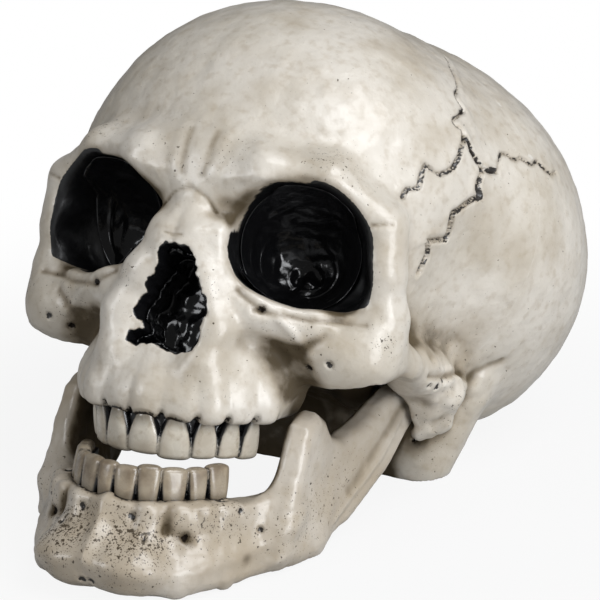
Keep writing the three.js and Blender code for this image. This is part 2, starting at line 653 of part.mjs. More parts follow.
function faceShell() {
  const outer = solid(skin(inFront, faceRulings(4 * OVERLAP)));
  const front = outer.subtract(behindFace).subtract(sweep);
  let shell = front.subtract(hollow);
  for (const side of [-1, 1]) {
    shell = shell.add(hingeRod(BOSS_RADIUS, BOSS_BACK, BOSS_FACE, side).intersect(front));
    shell = shell.add(earTab(side, 0).intersect(outer));
    shell = shell.subtract(hingeRod(SLOT_RADIUS, BOSS_FACE, SLOT_OUT, side));
    shell = shell.subtract(hingeRod(PIN_RADIUS + GAP, BOSS_BACK - PIN_HEAD_LENGTH, PIN_END + GAP, side));
    shell = shell.subtract(hingeRod(
      PIN_HEAD_RADIUS + GAP, BOSS_BACK - PIN_HEAD_LENGTH - HEAD_ROOM, BOSS_BACK, side,
    ));
    shell = shell.subtract(earRod(SCREW_RADIUS + GAP, tabFace - SCREW_BITE - GAP, tabFace + GAP, side));
  }
  shell = shell.subtract(nosePlug(0, NOSE_CLEAR, NOSE_BACK + GAP));
  shell = shell.subtract(rowBed(UPPER_ROW)).subtract(crownTab(GAP)).subtract(belowFloor);
  return shell;
}

// The tab at the crown, which reaches forward from the rear shell
const seamFrame = moved(0, SEAM_Y, 0).multiply(seamTilt);
const seamUp = new THREE.Vector3(0, 0, 1).transformDirection(seamFrame).toArray();
const roofAt = (offset) => {
  const start = new THREE.Vector3(CROWN_TAB.halfWidth, offset, 0).applyMatrix4(seamFrame);
  return reachOf(cavity, start.toArray(), seamUp);
};
const crownRoof = Math.min(roofAt(-CROWN_TAB.length), roofAt(0)) - 2 * GAP;
function crownTab(grow) {
  const slab = (from, to, low, high) => solid(
    new THREE.BoxGeometry(2 * (CROWN_TAB.halfWidth + grow), to - from, high - low),
    seamFrame.clone().multiply(moved(0, (from + to) / 2, (low + high) / 2)),
  );
  const low = crownRoof - CROWN_TAB.thickness;
  const blade = slab(-CROWN_TAB.length - grow, CROWN_TAB.root, low - grow, crownRoof + grow);
  return blade.add(slab(GAP / 2, CROWN_TAB.root, low, roofAt(0) + WALL / 2));
}

function rearShell() {
  const outer = solid(skin(behind, even(BROAD_FACET)));
  const back = outer.intersect(behindRear);
  let shell = back.subtract(hollow);
  shell = shell.add(crownTab(0));
  for (const side of [-1, 1]) {
    shell = shell.add(earRod(EAR_PIT_RADIUS + WALL, tabFace, earSurface, side).intersect(back));
    shell = shell.subtract(earTab(side, GAP));
    shell = shell.subtract(earRod(EAR_PIT_RADIUS, pitFloor, earSurface + SPAN / 10, side));
    shell = shell.subtract(earRod(SCREW_RADIUS + GAP, tabBack, earSurface, side));
  }
  return shell.subtract(belowFloor);
}

// Socket cups

// A closed bowl: a superellipsoid cut square in front of its middle
const BOWL_SIDES = 20;
const BOWL_RINGS = 6;
const BOWL_FRONT = 0.7;
function bowl(inset) {
  const half = ORBIT.half.map((size) => size - inset);
  const profile = [new THREE.Vector2(0, 1)];
  const from = Math.PI / 2;
  for (let i = 1; i <= BOWL_RINGS; i += 1) {
    const t = from * (1 - (i / BOWL_RINGS) * (1 + BOWL_FRONT));
    const bulge = Math.abs(Math.cos(t)) ** (2 / ORBIT.power);
    profile.push(new THREE.Vector2(bulge, Math.sign(t) * Math.abs(Math.sin(t)) ** (2 / ORBIT.power)));
  }
  profile.push(new THREE.Vector2(0, profile.at(-1).y));
  const geometry = new THREE.LatheGeometry(profile.reverse(), BOWL_SIDES);
  const place = geometry.getAttribute('position');
  for (let i = 0; i < place.count; i += 1) {
    const [x, y, z] = [place.getX(i), place.getY(i), place.getZ(i)];
    const around = Math.max(Math.hypot(x, z), 1e-9);
    const lean = (Math.abs(x) / around) ** ORBIT.power + (Math.abs(z) / around) ** ORBIT.power;
    const square = Math.max(lean, 1e-9) ** (-1 / ORBIT.power);
    place.setXYZ(i, x * square * half[0], y * half[1], z * square * half[2]);
  }
  return geometry;
}

const TRIM_BACK = -30;
const faceTrim = solid(skin(
  (x, y, z) => Math.max(bulk(x, y, z) + CUP_SETBACK, y - TRIM_BACK),
  faceRulings(TRIM_BACK + BROAD_FACET),
));

// A trimmed cup without the crumbs that its facets leave along the rim
const cleared = (cup) => cup.decompose().reduce((main, part) => (part.volume() > main.volume() ? part : main));

function eyeCup(side) {
  const tilt = [ORBIT.tilt[0], side * ORBIT.tilt[1], side * ORBIT.tilt[2]];
  const matrix = moved(side * ORBIT.at[0], ORBIT.at[1], ORBIT.at[2]).multiply(turnOf(tilt));
  const outside = solid(bowl(GAP), matrix);
  const inside = solid(bowl(GAP + CUP_WALL), matrix);
  return cleared(outside.subtract(inside).intersect(faceTrim));
}

function noseCup() {
  const outside = nosePlug(GAP, NOSE_CLEAR, NOSE_BACK);
  const inside = nosePlug(GAP + CUP_WALL, NOSE_CLEAR - 1, NOSE_BACK - CUP_WALL);
  return cleared(outside.subtract(inside).intersect(faceTrim));
}

// Teeth

const archOf = (row) => new THREE.EllipseCurve(0, row.depth, row.halfWidth, row.depth, Math.PI, 2 * Math.PI);
const rowMatrix = (row) => moved(0, row.front, row.gum)
  .multiply(new THREE.Matrix4().makeRotationX(Math.atan(row.slope)));
const rowLength = (row) => row.widths.reduce((sum, width) => sum + width, 0);

// The strip that joins a row of teeth and lies in a bed in the bone
const STRIP_STEPS = 16;
function stripPlan(row, grow) {
  const arch = archOf(row);
  const share = (rowLength(row) + grow) / arch.getLength();
  const points = Array.from({ length: STRIP_STEPS + 1 }, (_, i) => {
    const u = 0.5 + share * (2 * i / STRIP_STEPS - 1);
    const tangent = arch.getTangentAt(u);
    return { at: arch.getPointAt(u), inward: new THREE.Vector2(-tangent.y, tangent.x) };
  });
  const lip = (row.thickness - STRIP_WIDTH) / 2;
  const side = (depth) => points.map(({ at, inward }) => at.clone().addScaledVector(inward, depth));
  return new THREE.Shape([...side(lip - grow), ...side(lip + STRIP_WIDTH + grow).reverse()]);
}
function strip(row, grow) {
  const low = row.hang > 0 ? -STRIP_SINK - grow : -1;
  const high = row.hang > 0 ? 1 : STRIP_SINK + grow;
  const band = new THREE.ExtrudeGeometry(stripPlan(row, grow), { depth: high - low, bevelEnabled: false });
  return solid(band, rowMatrix(row).multiply(moved(0, 0, low)));
}

function tooth(width, row) {
  const geometry = new THREE.SphereGeometry(1, TOOTH_SIDES, TOOTH_RINGS);
  const place = geometry.getAttribute('position');
  const half = [width / 2 - TOOTH_SPACE, row.thickness / 2, (row.length + ROOT_SINK) / 2];
  for (let i = 0; i < place.count; i += 1) {
    const q = [place.getX(i), place.getY(i), place.getZ(i)];
    const sum = q.reduce((total, value) => total + Math.abs(value) ** TOOTH_POWER, 0) ** (-1 / TOOTH_POWER);
    place.setXYZ(i, ...q.map((value, k) => value * sum * half[k]));
  }
  return geometry;
}

function teethOf(row) {
  const arch = archOf(row);
  const length = arch.getLength();
  const teeth = [];
  for (const side of [-1, 1]) {
    let along = 0;
    for (const width of row.widths) {
      const u = 0.5 + side * (along + width / 2) / length;
      const at = arch.getPointAt(u);
      const tangent = arch.getTangentAt(u);
      const inward = new THREE.Vector2(-tangent.y, tangent.x).multiplyScalar(row.thickness / 2);
      const place = moved(at.x + inward.x, at.y + inward.y, row.hang * (row.length - ROOT_SINK) / 2)
        .multiply(new THREE.Matrix4().makeRotationZ(tangent.angle()));
      teeth.push(solid(tooth(width, row), rowMatrix(row).multiply(place)));
      along += width;
    }
  }
  return teeth;
}

const teethRow = (row) => teethOf(row).reduce((whole, one) => whole.add(one), strip(row, 0));

// The bed in the bone: a groove for the strip, and the flat of the gum that the teeth stop at
function rowBed(row) {
  const height = 2 * row.length;
  const sink = ROOT_SINK + GAP;
  const low = row.hang > 0 ? -sink : sink - height;
  const plan = stripPlan(row, (row.thickness - STRIP_WIDTH) / 2 + 2 * GAP);
  const flat = new THREE.ExtrudeGeometry(plan, { depth: height, bevelEnabled: false });
  return strip(row, GAP).add(solid(flat, rowMatrix(row).multiply(moved(0, 0, low))));
}

// Lower jaw

function mandible() {
  let bone = solid(skin(jaw, jawRulings));
  for (const side of [-1, 1]) {
    bone = bone.subtract(hingeRod(BOSS_RADIUS + SWING_CLEARANCE, BOSS_BACK, CONDYLE_IN, side));
    bone = bone.add(hingeRod(CONDYLE_RADIUS, CONDYLE_IN, CONDYLE_OUT, side));
    bone = bone.subtract(hingeRod(PIN_RADIUS + GAP, 0, CONDYLE_OUT + SPAN / 10, side));
  }
  return bone.subtract(rowBed(LOWER_ROW)).subtract(belowFloor);
}

// Hardware

const hingePin = (side) => hingeRod(PIN_RADIUS, BOSS_BACK - GAP, PIN_END, side)
  .add(hingeRod(PIN_HEAD_RADIUS, BOSS_BACK - GAP - PIN_HEAD_LENGTH, BOSS_BACK - GAP, side));
const hingeWasher = (side) => hingeRod(WASHER_RADIUS, BOSS_FACE + GAP, BOSS_FACE + GAP + WASHER_THICKNESS, side)
  .subtract(hingeRod(PIN_RADIUS + GAP, BOSS_FACE - GAP, CONDYLE_IN, side));
const earScrew = (side) => earRod(SCREW_RADIUS, tabFace - SCREW_BITE, pitFloor + GAP + SCREW_HEAD_LENGTH, side)
  .add(earRod(SCREW_HEAD_RADIUS, pitFloor + GAP, pitFloor + GAP + SCREW_HEAD_LENGTH, side));

// Assembly

const skull = new THREE.Group();
skull.add(piece('face_shell', faceShell(), BONE));
skull.add(piece('rear_shell', rearShell(), BONE));
skull.add(piece('nose_socket', noseCup(), SOCKET_BLACK));
skull.add(piece('upper_teeth', teethRow(UPPER_ROW), TOOTH));
skull.add(piece('mandible', mandible(), JAW_BONE));
skull.add(piece('lower_teeth', teethRow(LOWER_ROW), LOWER_TOOTH));
for (const [side, word] of [[1, 'left'], [-1, 'right']]) {
  skull.add(piece(`${word}_eye_socket`, eyeCup(side), SOCKET_BLACK));
  skull.add(piece(`${word}_hinge_pin`, hingePin(side), STEEL));
  skull.add(piece(`${word}_hinge_washer`, hingeWasher(side), NYLON));
  skull.add(piece(`${word}_ear_screw`, earScrew(side), STEEL));
}
skull.rotation.x = -PITCH;
skull.position.z = EAR_HEIGHT;

// The finished part stands on its origin: the middle of its box, at the table
const decoration = new THREE.Group();
decoration.add(skull);
const reach = new THREE.Box3().setFromObject(decoration, true);
const middle = reach.getCenter(new THREE.Vector3());
skull.position.sub(new THREE.Vector3(middle.x, middle.y, reach.min.z));

export default decoration;
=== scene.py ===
import json
import math

import bmesh
import bpy
import numpy as np
from mathutils import Matrix, Vector


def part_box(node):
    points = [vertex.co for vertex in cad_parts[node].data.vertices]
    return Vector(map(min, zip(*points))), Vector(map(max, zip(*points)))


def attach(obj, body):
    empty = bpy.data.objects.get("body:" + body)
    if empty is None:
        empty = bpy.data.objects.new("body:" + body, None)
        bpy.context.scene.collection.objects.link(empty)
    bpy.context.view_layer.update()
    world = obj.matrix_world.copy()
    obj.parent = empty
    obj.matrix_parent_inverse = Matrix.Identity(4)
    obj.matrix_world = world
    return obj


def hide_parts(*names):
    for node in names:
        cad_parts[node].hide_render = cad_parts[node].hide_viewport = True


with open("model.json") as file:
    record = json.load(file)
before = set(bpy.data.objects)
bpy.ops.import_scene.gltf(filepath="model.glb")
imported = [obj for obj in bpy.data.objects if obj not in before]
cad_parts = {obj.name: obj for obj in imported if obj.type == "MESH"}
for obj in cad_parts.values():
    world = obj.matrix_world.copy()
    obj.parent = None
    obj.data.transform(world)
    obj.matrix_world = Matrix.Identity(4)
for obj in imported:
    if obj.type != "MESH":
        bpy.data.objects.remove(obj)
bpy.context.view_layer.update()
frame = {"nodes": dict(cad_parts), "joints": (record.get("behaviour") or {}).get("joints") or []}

# The skull's own level frame, in millimetres: +X is its left, +Y its back, +Z up, and the
# origin lies midway between the ears. The whole skull is pitched back to stand on its base.
MM = 0.001
PITCH = math.radians(33.2)
HINGE_Y = -9.5
HINGE_Z = -7.4
PITCHED = np.array(Matrix.Rotation(-PITCH, 3, "X"))
hinge = next(joint for joint in frame["joints"] if joint["name"] == "jaw_hinge")
SKULL_AT = np.array(hinge["pos_m"]) - PITCHED @ np.array((0, HINGE_Y, HINGE_Z)) * MM


def to_row(points):
    """Points of the level skull, in millimetres, as points of the row frame, in metres."""
    return points @ PITCHED.T * MM + SKULL_AT


# Sizes of the head: those of the solids, with a fuller brow, a lower nose bridge and a knob at the ear
BRAINCASE = [
    ((0, -38, 43), (66.5, 56, 62), 0),
    ((0, 3.5, 51), (80, 64.5, 60.5), 12),
    ((0, 26, 42), (79, 63, 64), 14),
]
BASE_FLOOR = ((0, 0, -14), (0, 0, 1), 14)
NECK_SLOPE = ((0, 16, -31), (0, -0.62, 0.78), 8)
FOOT = ((0, 28, -18), (47.5, 17, 20), 3, 8)
BROW = [(3, -88.5, 30, 8), (20, -91.5, 35, 7), (38, -85.5, 36, 7), (53.5, -74, 28, 7), (56, -70, 16, 5.5)]
BROW_BLEND = 8
GLABELLA = ((0, -83, 39), (18, 13.5, 13), 10)
TEMPLE_HOLLOW = ((80, -44, 18), (17, 22, 26), 14)
CHEEK_POST = [(54.5, -71, 18, 6), (56, -64, 3, 7.5), (52, -62, -10, 10)]
CHEEK_POST_BLEND = 7
CHEEK_BODY = ((45, -64, -10), (14, 13, 11), 8)
CHEEK_ARCH = [(53, -60, -7, 9), (56, -46, -8, 7.5), (54.5, -30, -5, 8), (53.5, -10, -3.5, 10.5)]
CHEEK_ARCH_BLEND = 9
UPPER_JAW = ((0, -63, -26), (33, 30, 36), 9)
GUM_RIDGE = [(0, -85, -36, 9), (15, -81, -35, 9), (24, -70, -29, 8), (27, -58, -23, 7)]
GUM_RIDGE_BLEND = 6
NOSE_SIDE = [(38, -73, -4, 8), (23, -82, -4, 7.5), (11, -90, 13, 6.5)]
NOSE_SIDE_BLEND = 6
NOSE_CORE = ((0, -81, -5), (15, 11.5, 21), 5)
NOSE_RIM = [(5, -94, 11, 5), (10, -92, 0, 5.5), (15.5, -88.5, -13, 6), (14, -87, -24, 7)]
NOSE_RIM_BLEND = 5
NOSE_BRIDGE = [(0, -87.5, 25, 7.5), (0, -91, 15, 6), (1, -94.5, 7, 5.5)]
NOSE_BRIDGE_BLEND = 6
CHEEK_HOLLOW = ((54, -42, -30), (18, 24, 20), 8)
EAR_MOUND = [(54, 13, 1, 10), (43, 20, -20, 12)]
EAR_MOUND_BLEND = 8
MASTOID = [(55, -13, -7, 7.5), (52.5, -6, -14, 7)]
MASTOID_BLEND = 5
ORBIT_AT = (33.2, -83, 16)
ORBIT_HALF = (19.4, 27, 16.6)
ORBIT_POWER = 2.2
ORBIT_TILT = (-12, 0, 14)
ORBIT_BLEND = 4
SEAM_Y = -1
SEAM_LEAN = 0.222
GAP = 0.3

# Sizes of the teeth: their edges are measured along the arch from its middle, to the skull's left
UPPER_ROW = dict(
    front=-92.5, gum=-44, slope=0.39, half_width=29.5, depth=38, length=12, thickness=7.5, hang=-1, neck=0.6,
    edges=(-44, -38, -31.5, -23.5, -13.5, -3.1, 7.5, 17.8, 26.6, 35.1, 43.5),
)
LOWER_ROW = dict(
    front=-95.3, gum=-69.5, slope=0.39, half_width=28, depth=40, length=10, thickness=6, hang=1, neck=0.84,
    edges=(-39.4, -31.4, -23.4, -14.9, -6, 0.4, 7.9, 15.4, 24.1, 31.3, 40.2),
)

# Sizes of the lower jaw and its hinge
JAW_WALL = [
    (0, -90, -94.5, -66, 6.5), (9, -89.5, -94.5, -66, 6.5), (20, -82, -93.5, -63, 6),
    (28, -70, -87, -58, 5.5), (34.5, -54, -77, -52, 5), (39, -42, -69, -50, 5),
]
CHIN = ((7, -91, -86), (13, 8.5, 9), 6)
RAMUS = [
    (-60, -28), (-54, -28.5), (-47, -32), (-40, -31), (-32, -24), (-18, -6), (-10, -3), (-4, -9),
    (-15, -35), (-28, -54), (-39, -65), (-50, -71), (-60, -74), (-64, -58), (-65, -45), (-65, -34),
]
RAMUS_X = 39
RAMUS_FLARE = 0.2
RAMUS_FLARE_FROM = -45
RAMUS_HALF = 4.5
RAMUS_BLEND = 8
CONDYLE_IN = 41.5
CONDYLE_OUT = 51.5
CONDYLE_RADIUS = 6
PIN_RADIUS = 2
BOSS_FACE = 39.9
BOSS_LENGTH = 12
BOSS_RADIUS = 8.5
SWING_CLEARANCE = 1.5
JAW_CLOSE = math.radians(-3)
JAW_OPEN = math.radians(20)
SWING_STEPS = 6

# Fineness of the modelled surfaces
HEAD_STEP = 0.8
JAW_STEP = 0.7
TOOTH_STEP = 0.5
TINY = 1e-6
FAR = 99.0


# Distance fields: negative inside, in millimetres

def vec(values):
    return np.asarray(values, np.float32)


def ramp(values, start, end):
    """0 up to the start, 1 past the end, and even between them."""
    return np.clip((values - start) / (end - start), 0, 1)


def size_of(q):
    return np.sqrt(np.einsum("ij,ij->i", q, q))


def join(a, b, blend):
    if blend <= 0:
        return np.minimum(a, b)
    h = np.clip(0.5 + 0.5 * (b - a) / blend, 0, 1)
    return b + (a - b) * h - blend * h * (1 - h)


def carve(a, b, blend):
    return -join(-a, b, blend)


def mirrored(p):
    q = p.copy()
    q[:, 0] = np.abs(q[:, 0])
    return q


def ellipsoid(p, at, half):
    q = (p - vec(at)) / vec(half)
    near = size_of(q) + TINY
    return near * (near - 1) / (size_of(q / vec(half)) + TINY)


def turn_of(tilt):
    turns = [Matrix.Rotation(math.radians(angle), 3, axis) for angle, axis in zip(tilt, "XYZ")]
    return np.array(turns[2] @ turns[1] @ turns[0], np.float32)


def superellipsoid(p, at, half, power, tilt=(0, 0, 0)):
    q = np.abs((p - vec(at)) @ turn_of(tilt)) / vec(half) + TINY
    total = (q ** power).sum(1)
    pull = q ** (power - 1) / vec(half)
    return (total - total ** (1 - 1 / power)) / size_of(pull)


def above(p, at, up):
    return (p - vec(at)) @ (vec(up) / np.linalg.norm(up))


def limb(p, a, b):
    start, run = vec(a[:3]), vec(b[:3]) - vec(a[:3])
    t = np.clip((p - start) @ run / (run @ run), 0, 1)
    return size_of(p - start - t[:, None] * run) - a[3] - t * (b[3] - a[3])


LIMB_BLEND = 4


def bone(p, line):
    whole = limb(p, line[0], line[1])
    for a, b in zip(line[1:], line[2:]):
        whole = join(whole, limb(p, a, b), LIMB_BLEND)
    return whole


def rounded_corner(a, b, radius):
    outside = np.hypot(np.maximum(a + radius, 0), np.maximum(b + radius, 0))
    return outside + np.minimum(np.maximum(a, b) + radius, 0) - radius


WALL_ROUNDING = 0.8


def standing_wall(p, stations):
    whole = np.full(len(p), FAR, np.float32)
    for start, end in zip(stations, stations[1:]):
        run = vec(end[:2]) - vec(start[:2])
        t = np.clip((p[:, :2] - vec(start[:2])) @ run / (run @ run), 0, 1)
        low, high, thick = (start[k] + t * (end[k] - start[k]) for k in (2, 3, 4))
        away = size_of(p[:, :2] - vec(start[:2]) - t[:, None] * run)
        rise = np.abs(p[:, 2] - (low + high) / 2) - (high - low) / 2
        whole = np.minimum(whole, rounded_corner(away - thick, rise, thick * WALL_ROUNDING))
    return whole


def outline_distance(q, outline):
    """Signed distance of flat points to a closed outline."""
    nearest = np.full(len(q), FAR * FAR, np.float32)
    side = np.ones(len(q), np.float32)
    for a, b in zip(outline, outline[1:] + outline[:1]):
        edge = vec(b) - vec(a)
        w = q - vec(a)
        t = np.clip(w @ edge / (edge @ edge), 0, 1)
        nearest = np.minimum(nearest, ((w - t[:, None] * edge) ** 2).sum(1))
        starts = q[:, 1] >= a[1]
        stops = q[:, 1] < b[1]
        left = edge[0] * w[:, 1] > edge[1] * w[:, 0]
        side[(starts == stops) & (stops == left)] *= -1
    return side * np.sqrt(nearest)


# Even, repeatable unevenness: values of a fixed lattice, smoothed between its points

LATTICE = 32
lattice = np.random.default_rng(7).random((LATTICE,) * 3, dtype=np.float32) * 2 - 1


def noise(p, grain, shift=0.0):
    q = p / grain + shift
    cell = np.floor(q).astype(np.int64)
    f = (q - cell).astype(np.float32)
    f = f * f * (3 - 2 * f)
    total = np.zeros(len(p), np.float32)
    for corner in range(8):
        step = np.array([corner & 1, corner >> 1 & 1, corner >> 2 & 1])
        share = np.prod(np.where(step, f, 1 - f), axis=1)
        i, j, k = ((cell + step) % LATTICE).T
        total += share * lattice[i, j, k]
    return total


# The lower jaw

PLATE_ROUNDING = 3.5


def ramus_plate(q):
    lies = RAMUS_X + np.maximum(0, (q[:, 1] - RAMUS_FLARE_FROM) * RAMUS_FLARE)
    edge = outline_distance(q[:, 1:], RAMUS)
    return rounded_corner(edge, np.abs(q[:, 0] - lies) - RAMUS_HALF, PLATE_ROUNDING)


SWING_NEAR = 24


def swung_ramus(q):
    """The space that the ramus sweeps as the jaw swings."""
    aside = np.abs(q[:, 0] - RAMUS_X) - RAMUS_HALF
    nearest = np.maximum(aside, SWING_CLEARANCE)
    close = aside < SWING_NEAR
    swept = np.full(close.sum(), FAR, np.float32)
    for turn in np.linspace(JAW_CLOSE, JAW_OPEN, SWING_STEPS + 1):
        c, s = math.cos(turn), math.sin(turn)
        v, w = q[close, 1] - HINGE_Y, q[close, 2] - HINGE_Z
        swung = np.stack([q[close, 0], HINGE_Y + c * v + s * w, HINGE_Z - s * v + c * w], 1)
        swept = np.minimum(swept, ramus_plate(swung.astype(np.float32)))
    nearest[close] = swept
    return nearest - SWING_CLEARANCE


def hinge_limb(q, inner, outer, radius):
    return limb(q, (inner, HINGE_Y, HINGE_Z, radius), (outer, HINGE_Y, HINGE_Z, radius))


def floor_plane(p):
    """Height above the table, in millimetres."""
    return (to_row(p)[:, 2] / MM).astype(np.float32)


# Teeth: each stands on an arch in the plane of its gum

class Row:
    """A row of teeth: the place and turn of each, from the size of its arch."""

    ARCH_STEPS = 400

    def __init__(self, front, gum, slope, half_width, depth, length, thickness, hang, neck, edges):
        self.length, self.thickness, self.hang, self.neck = length, thickness, hang, neck
        tilt = math.atan(slope)
        self.turn = np.array(Matrix.Rotation(tilt, 3, "X"), np.float32)
        self.at = vec((0, front, gum))
        angle = np.linspace(math.pi, 2 * math.pi, self.ARCH_STEPS)
        arch = np.stack([half_width * np.cos(angle), depth + depth * np.sin(angle)], 1)
        along = np.concatenate([[0], np.cumsum(np.linalg.norm(np.diff(arch, axis=0), axis=1))])
        middle = along[-1] / 2
        self.places = []
        for start, end in zip(edges, edges[1:]):
            s = middle + (start + end) / 2
            at, ahead = (np.array([np.interp(t, along, arch[:, k]) for k in (0, 1)]) for t in (s, s + 0.5))
            tangent = (ahead - at) / np.linalg.norm(ahead - at)
            self.places.append((end - start, at, tangent))

    def flat(self, p):
        """Points in the gum's plane: across, back, and up from the gum."""
        return (p - self.at) @ self.turn

    def tooth_frame(self, flat, at, tangent):
        """Points beside one tooth: along the arch, inward from its face, and out from the gum."""
        q = flat[:, :2] - vec(at)
        inward = vec((-tangent[1], tangent[0]))
        return q @ vec(tangent), q @ inward, flat[:, 2] * self.hang


upper_row = Row(**UPPER_ROW)
lower_row = Row(**LOWER_ROW)

# The head

HINGE_BLEND = 8
SWING_ROUNDING = 2
GUM_ROUNDING = 2


def gum_plane(p, row):
    return row.flat(p)[:, 2]


def braincase(q):
    whole = ellipsoid(q, *BRAINCASE[0][:2])
    for at, half, blend in BRAINCASE[1:]:
        whole = join(whole, ellipsoid(q, at, half), blend)
    for at, up, blend in (BASE_FLOOR, NECK_SLOPE):
        whole = carve(whole, above(q, at, up), blend)
    return whole


def solid_head(p):
    """The head before its sockets are sunk."""
    q = mirrored(p)
    head = braincase(q)
    head = join(head, bone(q, BROW), BROW_BLEND)
    head = join(head, ellipsoid(q, *GLABELLA[:2]), GLABELLA[2])
    head = carve(head, ellipsoid(q, *TEMPLE_HOLLOW[:2]), TEMPLE_HOLLOW[2])
    head = join(head, bone(q, CHEEK_POST), CHEEK_POST_BLEND)
    head = join(head, ellipsoid(q, *CHEEK_BODY[:2]), CHEEK_BODY[2])
    head = join(head, bone(q, CHEEK_ARCH), CHEEK_ARCH_BLEND)
    upper = join(ellipsoid(q, *UPPER_JAW[:2]), bone(q, GUM_RIDGE), GUM_RIDGE_BLEND)
    upper = carve(upper, gum_plane(p, upper_row), GUM_ROUNDING)
    head = join(head, upper, UPPER_JAW[2])
    head = join(head, bone(q, NOSE_SIDE), NOSE_SIDE_BLEND)
    head = join(head, ellipsoid(q, *NOSE_CORE[:2]), NOSE_CORE[2])
    head = join(head, bone(q, NOSE_RIM), NOSE_RIM_BLEND)
    head = carve(head, ellipsoid(q, *CHEEK_HOLLOW[:2]), CHEEK_HOLLOW[2])
    head = join(head, bone(q, NOSE_BRIDGE), NOSE_BRIDGE_BLEND)
    head = join(head, bone(q, EAR_MOUND), EAR_MOUND_BLEND)
    head = join(head, bone(q, MASTOID), MASTOID_BLEND)
    head = join(head, superellipsoid(q, *FOOT[:3]), FOOT[3])
    head = join(head, hinge_limb(q, CONDYLE_IN - BOSS_LENGTH, CONDYLE_IN, BOSS_RADIUS), HINGE_BLEND)
    head = carve(head, swung_ramus(q), SWING_ROUNDING)
    slot = hinge_limb(q, BOSS_FACE, CONDYLE_OUT + SWING_CLEARANCE, CONDYLE_RADIUS + SWING_CLEARANCE)
    return carve(head, slot, SWING_ROUNDING)


# The nose opening seen from the front, across and up, from its top round by the skull's left
NOSE_OUTLINE = [
    (-1.5, 7), (1.5, 7.3), (3.3, 6.2), (4.4, 7), (6, 6.8), (8.8, 3.2), (9.6, 0), (11.5, -3.4), (13.8, -6.5),
    (14.8, -10.6), (14, -15), (14.4, -19), (13, -22), (8.2, -24), (4, -23.4), (-0.5, -22), (-3.5, -22.2),
    (-7, -23.5), (-9.8, -22.5), (-9, -19.6), (-5, -18), (-6, -16), (-8.2, -15), (-9.2, -12.8), (-8.8, -9.8),
    (-6.4, -7), (-7, -4.6), (-4.8, -1.8), (-3.2, 1.7), (-3.7, 4),
]
NOSE_BACK = -78
NOSE_RAG = 0.6
NOSE_RAG_GRAIN = 1.4
NOSE_EDGE = 0.8


def nose_hole(p):
    """The nose opening: two ragged lobes, pushed straight back."""
    plan = outline_distance(p[:, ::2], NOSE_OUTLINE)
    plan += NOSE_RAG * noise(p * vec((1, 0.3, 1)), NOSE_RAG_GRAIN)
    return np.maximum(plan, p[:, 1] - NOSE_BACK)


ORBIT_INNER = ((27.5, -88, 13), (-23.5, -89, 14))
ORBIT_INNER_HALF = ((13, 14, 13), (13.5, 14, 13))
ORBIT_OUTER = ((40, -75, 11.5), (13.2, 13, 10.5))
ORBIT_LOBE_BLEND = 2


def orbit(p):
    """The eye sockets, each with an inner corner beside the nose bridge and a wider outer side."""
    q = mirrored(p)
    whole = superellipsoid(q, ORBIT_AT, ORBIT_HALF, ORBIT_POWER, ORBIT_TILT)
    for at, half in zip(ORBIT_INNER, ORBIT_INNER_HALF):
        whole = join(whole, ellipsoid(p, at, half), ORBIT_LOBE_BLEND)
    return join(whole, ellipsoid(q, *ORBIT_OUTER), ORBIT_LOBE_BLEND)


def head_field(p):
    head = carve(solid_head(p), orbit(p), ORBIT_BLEND)
    head = carve(head, nose_hole(p), NOSE_EDGE)
    return np.maximum(head, -floor_plane(p))


def jaw_field(p):
    q = mirrored(p)
    body = join(standing_wall(q, JAW_WALL), ellipsoid(q, *CHIN[:2]), CHIN[2])
    body = carve(body, gum_plane(p, lower_row) * -1, GUM_ROUNDING)
    jaw = join(body, ramus_plate(q), RAMUS_BLEND)
    jaw = np.maximum(jaw, -hinge_limb(q, 0, BOSS_FACE, BOSS_RADIUS + SWING_CLEARANCE))
    jaw = join(jaw, hinge_limb(q, CONDYLE_IN + 3, CONDYLE_OUT - 3, CONDYLE_RADIUS), LIMB_BLEND)
    jaw = carve(jaw, hinge_limb(q, 0, 2 * CONDYLE_OUT, PIN_RADIUS + GAP), 0)
    return np.maximum(jaw, -floor_plane(p))


# Surfaces from fields: one point in each cell of a grid that the surface crosses

COARSE = 4
BATCH = 300000


def in_batches(field, points):
    return np.concatenate([field(points[i:i + BATCH]) for i in range(0, len(points), BATCH)])


def sampled(field, low, high, step):
    """The field on a grid, worked out only near its surface."""
    count = np.ceil((vec(high) - vec(low)) / step).astype(int) + 1
    rough = [np.arange(0, n + COARSE, COARSE) for n in count]
    spots = np.stack(np.meshgrid(*rough, indexing="ij"), -1).reshape(-1, 3)
    far = in_batches(field, (vec(low) + step * spots).astype(np.float32))
    far = far.reshape([len(r) for r in rough])
    nearest = np.ix_(*[np.minimum((np.arange(n) + COARSE // 2) // COARSE, len(r) - 1)
                       for n, r in zip(count, rough)])
    values = np.where(far[nearest] < 0, -FAR, FAR).astype(np.float32)
    band = np.argwhere(np.abs(far)[nearest] < COARSE * step * 1.2 + 1)
    values[tuple(band.T)] = in_batches(field, (vec(low) + step * band).astype(np.float32))
    return values


